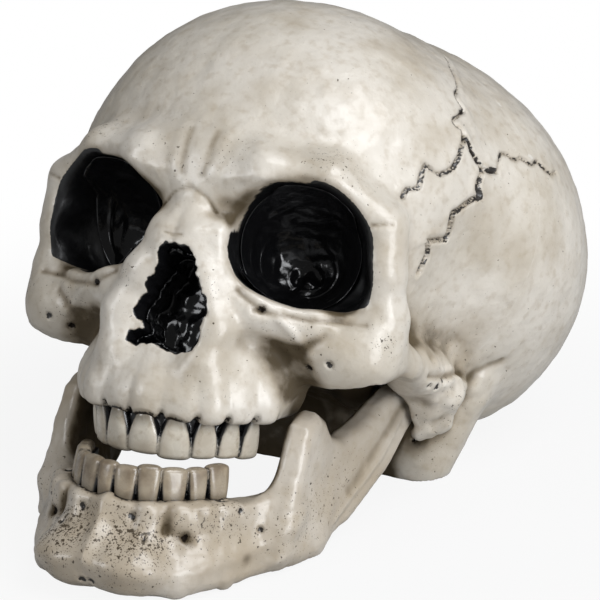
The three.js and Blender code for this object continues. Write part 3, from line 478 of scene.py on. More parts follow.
def skin(field, low, high, step):
    values = sampled(field, low, high, step)
    count = np.array(values.shape)
    inside = values < 0
    filled = np.zeros(count - 1, np.int8)
    for corner in range(8):
        part = [slice(corner >> k & 1, count[k] - 1 + (corner >> k & 1)) for k in range(3)]
        filled += inside[tuple(part)]
    cells = np.argwhere((filled > 0) & (filled < 8))
    number = np.full(count - 1, -1, np.int64)
    number[tuple(cells.T)] = np.arange(len(cells))
    total = np.zeros((len(cells), 3))
    crossings = np.zeros(len(cells))
    quads = []
    for axis in range(3):
        b, c = (axis + 1) % 3, (axis + 2) % 3
        for db, dc in ((0, 0), (1, 0), (0, 1), (1, 1)):
            start = cells.copy()
            start[:, b] += db
            start[:, c] += dc
            end = start.copy()
            end[:, axis] += 1
            from_value, to_value = values[tuple(start.T)], values[tuple(end.T)]
            crossed = (from_value < 0) != (to_value < 0)
            place = start[crossed].astype(float)
            place[:, axis] += from_value[crossed] / (from_value - to_value)[crossed]
            total[crossed] += place
            crossings[crossed] += 1
        ahead = np.roll(inside, -1, axis)
        edges = np.argwhere(inside != ahead)
        usable = (edges[:, axis] < count[axis] - 1) & (edges[:, b] > 0) & (edges[:, c] > 0)
        usable &= (edges[:, b] < count[b] - 1) & (edges[:, c] < count[c] - 1)
        edges = edges[usable]
        ring = []
        for db, dc in ((0, 0), (-1, 0), (-1, -1), (0, -1)):
            cell = edges.copy()
            cell[:, b] += db
            cell[:, c] += dc
            ring.append(number[tuple(cell.T)])
        ring = np.stack(ring, 1)
        outward = inside[tuple(edges.T)]
        ring[~outward] = ring[~outward][:, ::-1]
        quads.append(ring)
    points = vec(low) + step * total / crossings[:, None]
    return settled(field, points.astype(np.float32)), np.concatenate(quads)


SLOPE_PROBE = 0.3
SETTLE_REACH = 0.6


def slope(field, p):
    parts = []
    for axis in range(3):
        step = np.zeros(3, np.float32)
        step[axis] = SLOPE_PROBE
        parts.append((in_batches(field, p + step) - in_batches(field, p - step)) / (2 * SLOPE_PROBE))
    return np.stack(parts, 1)


def settled(field, p):
    """The points drawn onto the surface."""
    rise = slope(field, p)
    move = in_batches(field, p) / ((rise ** 2).sum(1) + TINY)
    return p - np.clip(move, -SETTLE_REACH, SETTLE_REACH)[:, None] * rise


# Meshes and pieces

def mesh_object(name, points, faces, marks=None):
    """An object from points of the level skull, with a named value at each point for each mark."""
    mesh = bpy.data.meshes.new(name)
    mesh.from_pydata(to_row(points), [], faces if isinstance(faces, list) else faces.tolist())
    for mark, values in (marks or {}).items():
        layer = mesh.attributes.new(mark, "FLOAT", "POINT")
        layer.data.foreach_set("value", np.asarray(values, np.float32))
    mesh.shade_smooth()
    piece = bpy.data.objects.new(name, mesh)
    bpy.context.scene.collection.objects.link(piece)
    return piece


def point_normals(points, quads):
    """Outward directions at the points of a mesh of four-sided faces."""
    a, b, c, d = (points[quads[:, k]] for k in range(4))
    across = np.cross(c - a, d - b)
    total = np.zeros_like(points)
    for k in range(4):
        np.add.at(total, quads[:, k], across)
    return total / (np.linalg.norm(total, axis=1, keepdims=True) + TINY)


def halved(piece, name, sign):
    """A closed half of a piece, cut along the seam between the two shells."""
    half = piece.copy()
    half.data = piece.data.copy()
    half.name = half.data.name = name
    bpy.context.scene.collection.objects.link(half)
    at = Vector(to_row(vec([(0, SEAM_Y, 0)]))[0])
    across = Vector(PITCHED @ np.array((0, 1, SEAM_LEAN)) * sign).normalized()
    work = bmesh.new()
    work.from_mesh(half.data)
    whole = work.verts[:] + work.edges[:] + work.faces[:]
    cut = bmesh.ops.bisect_plane(work, geom=whole, plane_co=at, plane_no=across, clear_outer=True)
    rim = [part for part in cut["geom_cut"] if isinstance(part, bmesh.types.BMEdge)]
    for edge in rim:
        edge.smooth = False
    bmesh.ops.edgeloop_fill(work, edges=rim)
    work.to_mesh(half.data)
    work.free()
    return half


# Fine forms, as points on the skull's left side that the right side mirrors

CORONAL = [
    (0, -15, 112), (7, -13, 111), (12, -18, 110), (17, -16, 108), (21, -20, 106), (31, -29, 101),
    (40, -30.5, 96), (43, -34, 93), (47, -38, 89), (52, -42, 83), (53, -47, 79.5), (56.5, -44.5, 76),
    (57, -53.5, 69.5), (59, -50, 68), (60.3, -49, 66),
]
FRONT_BRANCH = [
    (60.3, -49, 66), (62, -52, 58), (62, -55.5, 53), (61, -59.5, 50.5), (57.7, -64.5, 51.4),
    (57.7, -65.6, 43.7), (55.7, -68.5, 42), (55, -69.4, 39),
]
REAR_BRANCH = [(60.3, -49, 66), (63.4, -44.4, 62.4), (65.6, -39.5, 59.4), (67.3, -33.5, 61)]
LOWER_BRANCH = [
    (65.6, -39.5, 59.4), (66, -42.5, 53), (67, -40, 51), (65, -46, 45.5), (63.7, -49.7, 41.5),
    (63, -47, 37), (62, -46, 34), (60, -55, 30.7), (60, -52, 28), (58.5, -51, 22),
]
PARIETAL = [
    (67.3, -33.5, 61), (66, -30, 68), (68.5, -24, 69), (70.6, -18, 70.5), (72.5, -11.6, 72), (75, -2, 71),
]
SAGITTAL = [(0, -15, 112), (0, 30, 111), (0, 60, 95), (0, 74, 82)]
LAMBDOID = [(0, 74, 82), (18, 73, 76), (34, 68, 64), (48, 60, 50), (58, 48, 36)]

# Each suture: its points, half the width of its dark crack, the step up to the plate over it, its waver
SUTURES = [
    (CORONAL, 0.6, -0.8, 0.5), (FRONT_BRANCH, 0.5, 0.75, 0.35), (REAR_BRANCH, 0.95, 0.5, 0.3),
    (LOWER_BRANCH, 0.55, 0.8, 0.35), (PARIETAL, 0.3, 0.25, 1.6), (SAGITTAL, 0.5, 0, 0),
    (LAMBDOID, 0.4, 0.4, 2.0),
]

# Furrows and ridges of the head: points, half width, height
HEAD_FOLDS = [
    ([(27, -88.5, -6.5), (35, -83, -5.2), (41, -80.4, -4.9), (48, -75, -2.2), (56, -73.4, -1.8)], 1.3, -0.9),
    ([(21, -91.3, -1.6), (25.5, -90, -4.3), (29, -88, -5.5)], 1.4, -1.0),
    ([(33, -85, -6.5), (36, -81.5, -8.5), (42, -76, -14)], 1.5, 1.0),
    ([(46, -78, -8), (41, -77, -12), (37, -77, -15)], 1.8, -0.8),
    ([(54, -81, 26.7), (57.5, -78, 28)], 0.8, -0.6),
    ([(-1, -101.2, 10), (3, -101.2, 10.6)], 0.6, -0.5),
    ([(0, -97, 25.8), (5.6, -96, 23.8), (9, -94, 20)], 0.7, -0.35),
    ([(3, -97, 30), (4, -96, 36), (4.5, -96, 43)], 1.6, -0.22), ([(6, -97, 31), (8, -96, 44)], 2, 0.25),
    ([(12, -97, 30), (22, -97.5, 32.5), (36, -91, 34)], 1.6, 0.5),
    ([(61, 2, 2.5), (65, 5, 7), (68, 8, 11)], 1.8, -1.1),
    ([(62, -24, 7), (62, -20, 2), (60.5, -17, -3)], 1.6, 1.4),
    ([(63, -33, -6), (63, -22, -3), (62, -14, 0), (61, -4, 2)], 1.4, -1.4),
    ([(60, -15, -6), (61.5, -9, -10), (58, -6, -15)], 2.6, 1.6),
    ([(52, -8, -19), (50, 0, -18), (48.5, 6.5, -15), (52, 12, -11)], 1.8, 1.3),
    ([(36, -64.8, -21.3), (51.7, -67.4, -20.3), (60, -66, -17), (62.7, -46, -9.8)], 0.7, 0.5),
]

# Dents of the head: place, radius, depth, and whether they are dark holes
HEAD_DENTS = [
    ((62, -8.6, 3), 4.0, 3.2, False), ((60.5, -13, 4.5), 2.6, 1.4, False),
    ((57, -20, -12.6), 5.0, 2.0, False), ((44.7, 7.3, -18), 3.0, 2.4, False),
    ((61.4, -31.6, 0.5), 2.2, 1.0, False),
    ((62.5, -30.6, -8.6), 0.8, 1.2, True), ((62.7, -25.7, -7.5), 1.1, 1.4, True),
    ((63, -22, -4.6), 0.8, 1.2, True), ((41, -72.5, -17.7), 1.1, 1.4, True),
    ((48.4, -75, -16), 1.0, 1.0, True), ((29, -88, -5.5), 1.1, 1.2, True),
    ((44.7, 7.3, -19.5), 0.7, 1.0, True),
]

# Where specks gather on the head: place, reach, strength
HEAD_SPECKS = [
    ((38, -91, 42), 9, 0.6), ((47, -83, 39), 7, 0.4), ((12, -97, 38), 9, 0.4), ((4, -98.5, 31), 5, 0.35),
    ((14, -96.5, -3), 5, 0.55), ((16, -95.5, -14), 5, 0.3), ((61.5, -69.5, -6), 4.5, 0.8),
    ((46, -77, -8), 9, 0.3), ((62, -60, 2), 10, 0.25), ((60, -25, 8), 12, 0.3), ((52, 6, -20), 10, 0.4),
    ((36, -78, -12), 9, 0.45), ((50, -76, 12), 8, 0.3), ((63, -48, 36), 14, 0.18), ((20, -88, -30), 12, 0.25),
    ((58, -8, -8), 14, 0.5), ((66, -20, 62), 16, 0.22), ((0, -60, 102), 30, 0.05), ((70, 10, 12), 22, 0.2),
]

# Brown stains of the head: place, reach, strength. The last and widest is painted shade in the hollow under
# the cheek
HEAD_STAINS_AND_SHADE = [
    ((61.4, -31.6, 0.5), 3, 0.5), ((57, -20, -12.6), 6, 0.4), ((62, -8.6, 3), 4, 0.35),
    ((41, -75, -12), 5, 0.35), ((36, -72, -19), 6, 0.45), ((63, -50, 40), 9, 0.12),
    ((22, -38, -12), 24, 0.9),
]

# The same forms of the lower jaw
JAW_FOLDS = [
    ([(0, -95, -70), (0, -98, -80), (0, -99, -89)], 2.4, 1.5),
    ([(0, -99, -89), (10, -97.5, -90), (19, -94, -89), (27.6, -81, -83.4), (36.5, -65, -71),
      (43.7, -57.7, -60)], 3.4, 1.5),
    ([(17.7, -91, -68.5), (18.8, -90.3, -75)], 1.5, -1.1), ([(18.8, -90.3, -75), (25, -85, -76)], 1.8, -0.9),
    ([(38, -62.9, -31.5), (37.5, -64.8, -47.5), (33.5, -65.5, -56.7)], 2.0, 0.7),
    ([(52, -13.6, -10), (48.5, -20, -28.7), (47.5, -25, -38), (45, -38, -56)], 0.9, 0.7),
    ([(49, -15, -12), (46, -24, -30), (44, -32, -45)], 2.5, -0.7),
]
JAW_DENTS = [
    ((9, -97, -78), 8.0, 2.6, False), ((22, -88, -80), 8.0, 1.8, False), ((32, -72, -70), 7.0, 0.8, False),
    ((23.7, -86.6, -75.6), 1.2, 1.5, True), ((26.3, -76, -62), 1.3, 1.5, True),
    ((32, -74, -63.5), 0.8, 1.0, True), ((35.9, -66, -66.5), 0.7, 1.0, True),
    ((8.6, -96, -73.5), 0.9, 1.2, True), ((15, -95, -78.5), 0.7, 1.0, True),
    ((1.5, -95, -94.6), 1.0, 0.8, True),
]
JAW_SPECKS = [
    ((6, -98, -79), 11, 0.8), ((18, -92, -80), 9, 0.7), ((30, -76, -66), 9, 0.6), ((42, -50, -55), 16, 0.5),
    ((40, -62, -66), 12, 0.35), ((10, -97, -92), 14, 0.4), ((44, -35, -40), 14, 0.3),
    ((24, -84, -72), 8, 0.5),
]
JAW_STAINS = [
    ((18, -91, -72), 3, 0.6), ((24, -86, -76), 3, 0.5), ((34.5, -68, -76.4), 2.5, 0.6),
    ((40, -62, -30), 8, 0.2), ((12, -96, -78), 4, 0.35), ((24, -84, -68), 3, 0.4),
    ((10, -97, -94), 10, 0.35), ((30, -78, -86), 10, 0.3),
]

LINE_PITCH = 1.5
SNAP_ROUNDS = 16
SNAP_NEAR = 0.1

# Beside a suture, the raised plate falls away, and a low lip runs along the other side
PLATE_REACH = 12
PLATE_FALL = 4
LIP = 0.45
LIP_AT = 2.4
LIP_FALL = 1.1
CRACK_DEPTH = 0.5
CRACK_SPREAD = 0.7

# Bone beside the teeth
ROOT_MARGIN = 4
ROOT_RISE = 0.75
NOTCH_RADIUS = 0.62
NOTCH_DEPTH = 0.9
NOTCH_SPREAD = 0.9
GUM_LINE = 0.45
GUM_SHADE = 0.6
GUM_SHADE_REACH = 1.2


def drawn(field, line, waver=0.0):
    """A line's points at an even pitch, wavering a little, drawn onto the surface."""
    line = vec(line)
    along = np.concatenate([[0], np.cumsum(np.linalg.norm(np.diff(line, axis=0), axis=1))])
    spots = np.linspace(0, along[-1], max(2, int(along[-1] / LINE_PITCH) + 1))
    points = np.stack([np.interp(spots, along, line[:, k]) for k in range(3)], 1).astype(np.float32)
    points += waver * np.stack([noise(points, 2.6, 5.3 * k) for k in range(3)], 1)
    for _ in range(SNAP_ROUNDS):
        points = settled(field, points)
        if np.abs(field(points)).max() < SNAP_NEAR:
            break
    return points


class Surface:
    """A modelled surface, which fine forms raise, crack, darken with wash and painted shade, and speckle
    before it becomes a piece.
    """

    CRACK_FAR = 6.0

    def __init__(self, field, box, step):
        self.field = field
        self.points, self.quads = skin(field, *box, step)
        self.normals = point_normals(self.points, self.quads)
        self.near_points = mirrored(self.points)
        self.near_normals = self.normals * np.where(self.points[:, :1] < 0, vec((-1, 1, 1)), 1)
        count = len(self.points)
        self.height, self.wash, self.speck = (np.zeros(count, np.float32) for _ in range(3))
        self.crack = np.full(count, self.CRACK_FAR, np.float32)

    def beside(self, line, reach):
        """The points near a line, how far each lies from it along the surface, and on which side."""
        low, high = line.min(0) - reach, line.max(0) + reach
        near = np.flatnonzero(((self.near_points > low) & (self.near_points < high)).all(1))
        p, out = self.near_points[near], self.near_normals[near]
        away = np.full(len(near), FAR, np.float32)
        side = np.ones(len(near), np.float32)
        for a, b in zip(line, line[1:]):
            run = b - a
            t = np.clip((p - a) @ run / (run @ run + TINY), 0, 1)
            off = p - a - t[:, None] * run
            lift = np.einsum("ij,ij->i", off, out)
            flat = size_of(off - lift[:, None] * out) + np.maximum(np.abs(lift) - 2, 0)
            closer = flat < away
            away[closer] = flat[closer]
            side[closer] = np.sign(np.einsum("ij,ij->i", np.cross(run, off), out))[closer]
        return near, away, side

    def fold(self, line, width, height):
        near, away, _ = self.beside(drawn(self.field, line), 4 * width)
        rise = np.exp(-(away / width) ** 2)
        self.height[near] += height * rise
        # Furrows are darkened: painted shade
        if height < 0:
            self.wash[near] += 0.45 * rise

    def suture(self, line, half_width, step, waver):
        """A crack between two plates, one of which lies a step higher."""
        near, away, side = self.beside(drawn(self.field, line, waver), PLATE_REACH)
        s = away * side * (np.sign(step) or 1)
        high = abs(step)
        rise = np.where(s > 0, high * np.exp(-s / PLATE_FALL), -high * np.exp(s / LIP_FALL))
        rise += LIP * high * np.exp(-((s + LIP_AT) / LIP_FALL) ** 2)
        rise -= CRACK_DEPTH * np.exp(-(s / CRACK_SPREAD) ** 2)
        self.height[near] += rise
        thick = half_width * (0.75 + 0.8 * noise(self.points[near], 4.5))
        self.crack[near] = np.minimum(self.crack[near], away - thick)
        # Darker just beside the crack: painted shade, with the brown wash
        self.wash[near] += 0.4 * np.exp(-away / 0.9)

    def dent(self, at, radius, depth, dark):
        away = size_of(self.near_points - vec(at))
        self.height -= depth * np.exp(-(away / radius) ** 2)
        if dark:
            self.crack = np.minimum(self.crack, away - radius)

    # Darkens the wash mark round a point: used for stains, and for painted shade under the cheek
    def stain_and_shade(self, at, reach, strength):
        self.wash += strength * np.exp(-(size_of(self.near_points - vec(at)) / reach) ** 2)

    def speckle(self, at, reach, share):
        self.speck += share * np.exp(-(size_of(self.near_points - vec(at)) / reach) ** 2)

    def roughen(self, grain, height):
        self.height += height * noise(self.points, grain)

    def shape(self, folds, dents, specks, stains_and_shade):
        makers = (self.fold, self.dent, self.speckle, self.stain_and_shade)
        for make, forms in zip(makers, (folds, dents, specks, stains_and_shade)):
            for form in forms:
                make(*form)

    def roots(self, row, height, length):
        """The bulges that the teeth's roots raise in the bone, and the dark notches between them."""
        flat = row.flat(self.points)
        near = np.flatnonzero(np.abs(flat[:, 2]) < length + ROOT_MARGIN)
        flat = flat[near]
        crack = self.crack[near]
        swell, sunk = np.zeros((2, len(near)), np.float32)
        for width, at, tangent in row.places:
            u, v, w = row.tooth_frame(flat, at, tangent)
            across = np.clip(1 - (2 * u / width) ** 2, 0, 1)
            down = ramp(w, -length, (ROOT_RISE - 1) * length)
            swell = np.maximum(swell, across * down * down * (3 - 2 * down) * (np.abs(v) < 12))
            if row.hang < 0:
                notch = np.sqrt((np.abs(u) - width / 2) ** 2 + (0.45 * (w + 0.2)) ** 2)
                notch[(np.abs(v) > 6) | (w > 2)] = FAR
                crack = np.minimum(crack, notch - NOTCH_RADIUS)
                sunk += NOTCH_DEPTH * np.exp(-(notch / NOTCH_SPREAD) ** 2)
        beside = crowns(row, self.points[near])
        self.crack[near] = np.minimum(crack, beside - GUM_LINE)
        # Darker bone beside the crowns: painted shade between the teeth and the gum
        self.wash[near] += GUM_SHADE * np.exp(-np.maximum(beside, 0) / GUM_SHADE_REACH)
        self.height[near] += height * swell - sunk

    def piece(self, name, socket=None):
        """The finished object, with painted shade and brown wash in its hollows."""
        points = self.points + self.height[:, None] * self.normals
        below = np.minimum(to_row(points)[:, 2], 0)
        points = points - (below / MM)[:, None] * PITCHED[2]
        room = hollowness(self.field, self.points, self.normals)
        if socket is None:
            socket = np.full(len(points), self.CRACK_FAR)
        marks = {
            # The first mark darkens hollows, creases and undersides: painted shade, with the brown wash
            "wash": np.clip(room + self.wash, 0, 1),
            "crack": np.clip(self.crack, -2, self.CRACK_FAR),
            "speck": np.clip(self.speck, 0, 1),
            "socket": np.clip(socket, -3, self.CRACK_FAR),
        }
        return mesh_object(name, points, self.quads, marks)


# Stage

CAMERA_AZIMUTH = math.radians(27.1)
CAMERA_HEIGHT = math.radians(18.9)
CAMERA_AWAY = 0.895
CAMERA_LENS = 170.6
CAMERA_SENSOR = 36
CAMERA_AIM = np.array((0, -0.02, 0.0455))
CAMERA_SLIDE = 0.0111
CAMERA_DROP = 0.0196


def make_camera():
    flat = math.cos(CAMERA_HEIGHT)
    back = Vector((math.sin(CAMERA_AZIMUTH) * flat, -math.cos(CAMERA_AZIMUTH) * flat,
                   math.sin(CAMERA_HEIGHT)))
    right = Vector((math.cos(CAMERA_AZIMUTH), math.sin(CAMERA_AZIMUTH), 0))
    up = back.cross(right)
    aim = Vector(SKULL_AT + CAMERA_AIM) + CAMERA_SLIDE * right - CAMERA_DROP * up
    data = bpy.data.cameras.new("camera")
    data.lens = CAMERA_LENS
    data.sensor_width = CAMERA_SENSOR
    camera = bpy.data.objects.new("camera", data)
    bpy.context.scene.collection.objects.link(camera)
    turn = Matrix((right, up, back)).transposed().to_4x4()
    camera.matrix_world = Matrix.Translation(aim + CAMERA_AWAY * back) @ turn
    bpy.context.scene.camera = camera


# Each lamp: where it stands, its size and its power, all aimed at the skull
STUDIO_AIM = (0, 0, 0.07)
LAMP_TINT = (0.95, 0.97, 1.0)
LAMPS = {
    "key": ((0.62, -0.1, 1.1), (0.7, 0.7), 9.5),
    "side": ((1.1, -0.45, 0.42), (0.5, 0.8), 10.0),
    "left": ((-0.6, -1.0, 0.6), (0.4, 0.6), 4.0),
}


def make_lamp(name, at, size, power):
    data = bpy.data.lights.new(name, "AREA")
    data.shape = "RECTANGLE"
    data.size, data.size_y = size
    data.energy = power
    data.color = LAMP_TINT
    lamp = bpy.data.objects.new(name, data)
    bpy.context.scene.collection.objects.link(lamp)
    towards = Vector(STUDIO_AIM) - Vector(at)
    lamp.matrix_world = Matrix.Translation(at) @ towards.to_track_quat("-Z", "Y").to_matrix().to_4x4()


def make_stage():
    plane = bpy.data.meshes.new("floor")
    reach = 6
    plane.from_pydata([(-reach, -reach, 0), (reach, -reach, 0), (reach, reach, 0), (-reach, reach, 0)],
                      [], [(0, 1, 2, 3)])
    floor = bpy.data.objects.new("floor", plane)
    bpy.context.scene.collection.objects.link(floor)
    floor.data.materials.append(floor_paint())
    for name, lamp in LAMPS.items():
        make_lamp(name, *lamp)
    world = bpy.context.scene.world or bpy.data.worlds.new("studio")
    bpy.context.scene.world = world
    world.use_nodes = True
    paint_world(world.node_tree)


# Materials

class Paint:
    """A node material, with short ways to add and link nodes."""

    def __init__(self, name):
        self.material = bpy.data.materials.new(name)
        self.material.use_nodes = True
        self.tree = self.material.node_tree
        self.shader = self.tree.nodes["Principled BSDF"]

    def node(self, kind, **values):
        made = self.tree.nodes.new(kind)
        for key, value in values.items():
            if hasattr(made, key):
                setattr(made, key, value)
            else:
                made.inputs[key.replace("_", " ").title()].default_value = value
        return made

    def link(self, source, target):
        self.tree.links.new(source, target)

    def set(self, **values):
        for key, value in values.items():
            self.shader.inputs[key.replace("_", " ").title().replace("Ior", "IOR")].default_value = value

    def mark(self, name):
        return self.node("ShaderNodeAttribute", attribute_name=name).outputs["Fac"]

    def noise(self, scale, detail=3.0):
        made = self.node("ShaderNodeTexNoise", scale=scale, detail=detail)
        place = self.node("ShaderNodeTexCoord")
        self.link(place.outputs["Object"], made.inputs["Vector"])
        return made.outputs["Fac"]

    def specks(self, scale, share, often=0.17, rare=0.76):
        """Irregular dots, more of them where the share is larger."""
        level = self.math("MULTIPLY_ADD", share, often, self.noise(scale, 2.5))
        return self.spread(level, rare - 0.03, rare + 0.03)

    def spread(self, source, low, high, to_low=0.0, to_high=1.0):
        made = self.node("ShaderNodeMapRange", interpolation_type="SMOOTHSTEP")
        self.link(source, made.inputs["Value"])
        for key, value in (("From Min", low), ("From Max", high), ("To Min", to_low), ("To Max", to_high)):
            made.inputs[key].default_value = value
        return made.outputs["Result"]

    def math(self, operation, *values):
        made = self.node("ShaderNodeMath", operation=operation)
        for socket, value in zip(made.inputs, values):
            if isinstance(value, (int, float)):
                socket.default_value = value
            else:
                self.link(value, socket)
        return made.outputs["Value"]

    def mix(self, share, a, b, blend="MIX"):
        made = self.node("ShaderNodeMix", data_type="RGBA", blend_type=blend)
        sockets = [made.inputs[k] for k in (0, 6, 7)]
        for socket, value in zip(sockets, (share, a, b)):
            if isinstance(value, tuple):
                socket.default_value = (*value, 1)
            elif isinstance(value, (int, float)):
                socket.default_value = value
            else:
                self.link(value, socket)
        return made.outputs[2]

    def bump(self, height, strength, distance, onto=None):
        made = self.node("ShaderNodeBump")
        made.inputs["Strength"].default_value = strength
        made.inputs["Distance"].default_value = distance
        self.link(height, made.inputs["Height"])
        if onto:
            self.link(onto, made.inputs["Normal"])
        return made.outputs["Normal"]


BONE_LIGHT = (0.63, 0.585, 0.515)
BONE_DARK = (0.52, 0.47, 0.39)
JAW_LIGHT = (0.54, 0.49, 0.42)
JAW_DARK = (0.42, 0.36, 0.28)
BONE_TAN = (0.36, 0.29, 0.20)
BONE_RIDGE_HIGHLIGHT = (0.72, 0.69, 0.64)
# Near-black brown of the painted shade and the brown wash in hollows
WASH_AND_SHADE_BROWN = (0.075, 0.055, 0.03)
CRACK_BROWN = (0.012, 0.008, 0.005)
SPECK_BROWN = (0.06, 0.042, 0.022)
PAINT_BLACK = (0.004, 0.004, 0.0045)


def bone_paint(name, light, dark):
    paint = Paint(name)
    colour = paint.mix(paint.spread(paint.noise(30, 4), 0.35, 0.7), light, dark)
    grime = paint.spread(paint.noise(330, 6), 0.45, 0.8, 0.0, 0.45)
    colour = paint.mix(grime, colour, BONE_TAN)
    patches = paint.spread(paint.noise(60, 7), 0.4, 0.8, 0.0, 0.4)
    colour = paint.mix(patches, colour, BONE_TAN)
    bend = paint.node("ShaderNodeNewGeometry").outputs["Pointiness"]
    # Lighter on convex ridges: a painted highlight
    colour = paint.mix(paint.spread(bend, 0.515, 0.6, 0.0, 0.6), colour, BONE_RIDGE_HIGHLIGHT)
    # Darker in concave creases: painted shade, with the brown wash
    colour = paint.mix(paint.spread(bend, 0.495, 0.42, 0.0, 0.85), colour, WASH_AND_SHADE_BROWN)
    # Where the wash mark is high the bone goes tan, then near-black brown: painted shade in hollows and under
    # the skull, with the brown wash
    uneven = paint.spread(paint.noise(110, 6), 0.25, 0.65, 0.5, 1.0)
    dirt_and_shade = paint.math("MULTIPLY", paint.mark("wash"), uneven)
    colour = paint.mix(paint.spread(dirt_and_shade, 0.0, 0.45, 0.0, 0.55), colour, BONE_TAN)
    colour = paint.mix(paint.spread(dirt_and_shade, 0.12, 0.8, 0.0, 0.95), colour, WASH_AND_SHADE_BROWN)
    for scale in (800, 1700):
        colour = paint.mix(paint.specks(scale, paint.mark("speck")), colour, SPECK_BROWN)
    ragged = paint.math("ADD", paint.mark("crack"), paint.spread(paint.noise(900, 3), 0.3, 0.7, -0.3, 0.3))
    split = paint.spread(ragged, 0.18, -0.12)
    colour = paint.mix(split, colour, CRACK_BROWN)
    edge = paint.math("ADD", paint.mark("socket"), paint.spread(paint.noise(500, 4), 0.3, 0.7, -0.12, 0.12))
    black = paint.spread(edge, 0.5, 0.25)
    colour = paint.mix(black, colour, PAINT_BLACK)
    paint.link(colour, paint.shader.inputs["Base Color"])
    fine = paint.noise(420, 4)
    paint.link(paint.spread(fine, 0.3, 0.7, 0.34, 0.48), paint.shader.inputs["Roughness"])
    paint.set(coat_roughness=0.2)
    for gloss, washed in (("Coat Weight", 0.0), ("Specular IOR Level", 0.1)):
        paint.link(paint.spread(paint.mark("wash"), 0.25, 0.8, 0.5, washed), paint.shader.inputs[gloss])
    dents = paint.bump(paint.spread(paint.mark("crack"), -0.3, 0.9), 0.6, 0.0008)
    paint.link(paint.bump(paint.noise(240, 6), 0.4, 0.0009, dents), paint.shader.inputs["Normal"])
    return paint.material


def black_gloss():
    paint = Paint("socket_black")
    paint.set(base_color=(*PAINT_BLACK, 1), coat_weight=0.3, coat_roughness=0.05, specular_ior_level=0.4)
    paint.link(paint.spread(paint.noise(300), 0.3, 0.7, 0.08, 0.22), paint.shader.inputs["Roughness"])
    paint.link(paint.bump(paint.noise(160, 4), 0.5, 0.0008), paint.shader.inputs["Normal"])
    return paint.material


def tooth_paint(name, light, dark):
    paint = Paint(name)
    colour = paint.mix(paint.spread(paint.noise(130, 5), 0.35, 0.7), light, dark)
    colour = paint.mix(paint.spread(paint.noise(380, 6), 0.5, 0.75, 0.0, 0.6), colour, BONE_TAN)
    colour = paint.mix(paint.spread(paint.mark("gum"), 0.35, -0.05, 0.0, 0.75), colour, WASH_AND_SHADE_BROWN)
    colour = paint.mix(paint.spread(paint.mark("gum"), 0.85, 1.05, 0.0, 0.4), colour, WASH_AND_SHADE_BROWN)
    # Near-black where the wash mark is high: painted shade in the teeth's hollows and on the strip behind
    # them
    colour = paint.mix(paint.spread(paint.mark("wash"), 0.06, 0.6), colour, PAINT_BLACK)
    paint.link(colour, paint.shader.inputs["Base Color"])
    paint.link(paint.spread(paint.noise(260), 0.3, 0.7, 0.22, 0.4), paint.shader.inputs["Roughness"])
    paint.set(coat_weight=0.5, coat_roughness=0.12)
    paint.link(paint.bump(paint.noise(500, 4), 0.2, 0.0005), paint.shader.inputs["Normal"])
    return paint.material


def metal_paint(name, colour, roughness):
    paint = Paint(name)
    paint.set(metallic=1.0)
    paint.link(paint.mix(paint.noise(600), colour, tuple(0.8 * c for c in colour)),
               paint.shader.inputs["Base Color"])
    paint.link(paint.spread(paint.noise(900), 0.3, 0.7, roughness, roughness + 0.15),
               paint.shader.inputs["Roughness"])
    return paint.material


def nylon_paint():
    paint = Paint("nylon")
    paint.link(paint.mix(paint.noise(200), (0.75, 0.73, 0.67), (0.68, 0.66, 0.6)),
               paint.shader.inputs["Base Color"])
    paint.set(roughness=0.5)
    return paint.material


FLOOR_COLOUR = (0.45, 0.45, 0.45)
FLOOR_FADE = (0.1, 0.32)
FLOOR_PALE = 0.9


def floor_paint():
    paint = Paint("floor")
    paint.set(base_color=(*FLOOR_COLOUR, 1), roughness=0.9)
    place = paint.node("ShaderNodeTexCoord")
    away = paint.node("ShaderNodeVectorMath", operation="LENGTH")
    paint.link(place.outputs["Object"], away.inputs[0])
    seen = paint.node("ShaderNodeLightPath")
    pale = paint.spread(away.outputs["Value"], *FLOOR_FADE, FLOOR_PALE)
    fade = paint.math("MULTIPLY", pale, seen.outputs["Is Camera Ray"])
    white = paint.node("ShaderNodeEmission")
    blend = paint.node("ShaderNodeMixShader")
    paint.link(fade, blend.inputs[0])
    paint.link(paint.shader.outputs[0], blend.inputs[1])
    paint.link(white.outputs[0], blend.inputs[2])
    paint.link(blend.outputs[0], paint.tree.nodes["Material Output"].inputs["Surface"])
    return paint.material


WORLD_GLOW = 0.16


def paint_world(tree):
    tree.nodes.clear()
    seen = tree.nodes.new("ShaderNodeLightPath")
    shown = tree.nodes.new("ShaderNodeMath")
    shown.operation = "MAXIMUM"
    tree.links.new(seen.outputs["Is Camera Ray"], shown.inputs[0])
    tree.links.new(seen.outputs["Is Transmission Ray"], shown.inputs[1])
    glow = tree.nodes.new("ShaderNodeBackground")
    glow.inputs["Color"].default_value = (1, 1, 1, 1)
    glow.inputs["Strength"].default_value = WORLD_GLOW
    white = tree.nodes.new("ShaderNodeBackground")
    white.inputs["Color"].default_value = (1, 1, 1, 1)
    blend = tree.nodes.new("ShaderNodeMixShader")
    tree.links.new(shown.outputs[0], blend.inputs[0])
    tree.links.new(glow.outputs[0], blend.inputs[1])
    tree.links.new(white.outputs[0], blend.inputs[2])
    output = tree.nodes.new("ShaderNodeOutputWorld")
    tree.links.new(blend.outputs[0], output.inputs["Surface"])


# Dressing

# How far out from the surface the field is sampled to find hollows for the painted shade
OCCLUSION_REACH = ((1.2, 0.5), (3.0, 0.6), (7.0, 0.6), (15.0, 0.55), (26.0, 0.5))
OCCLUSION_START = 0.18


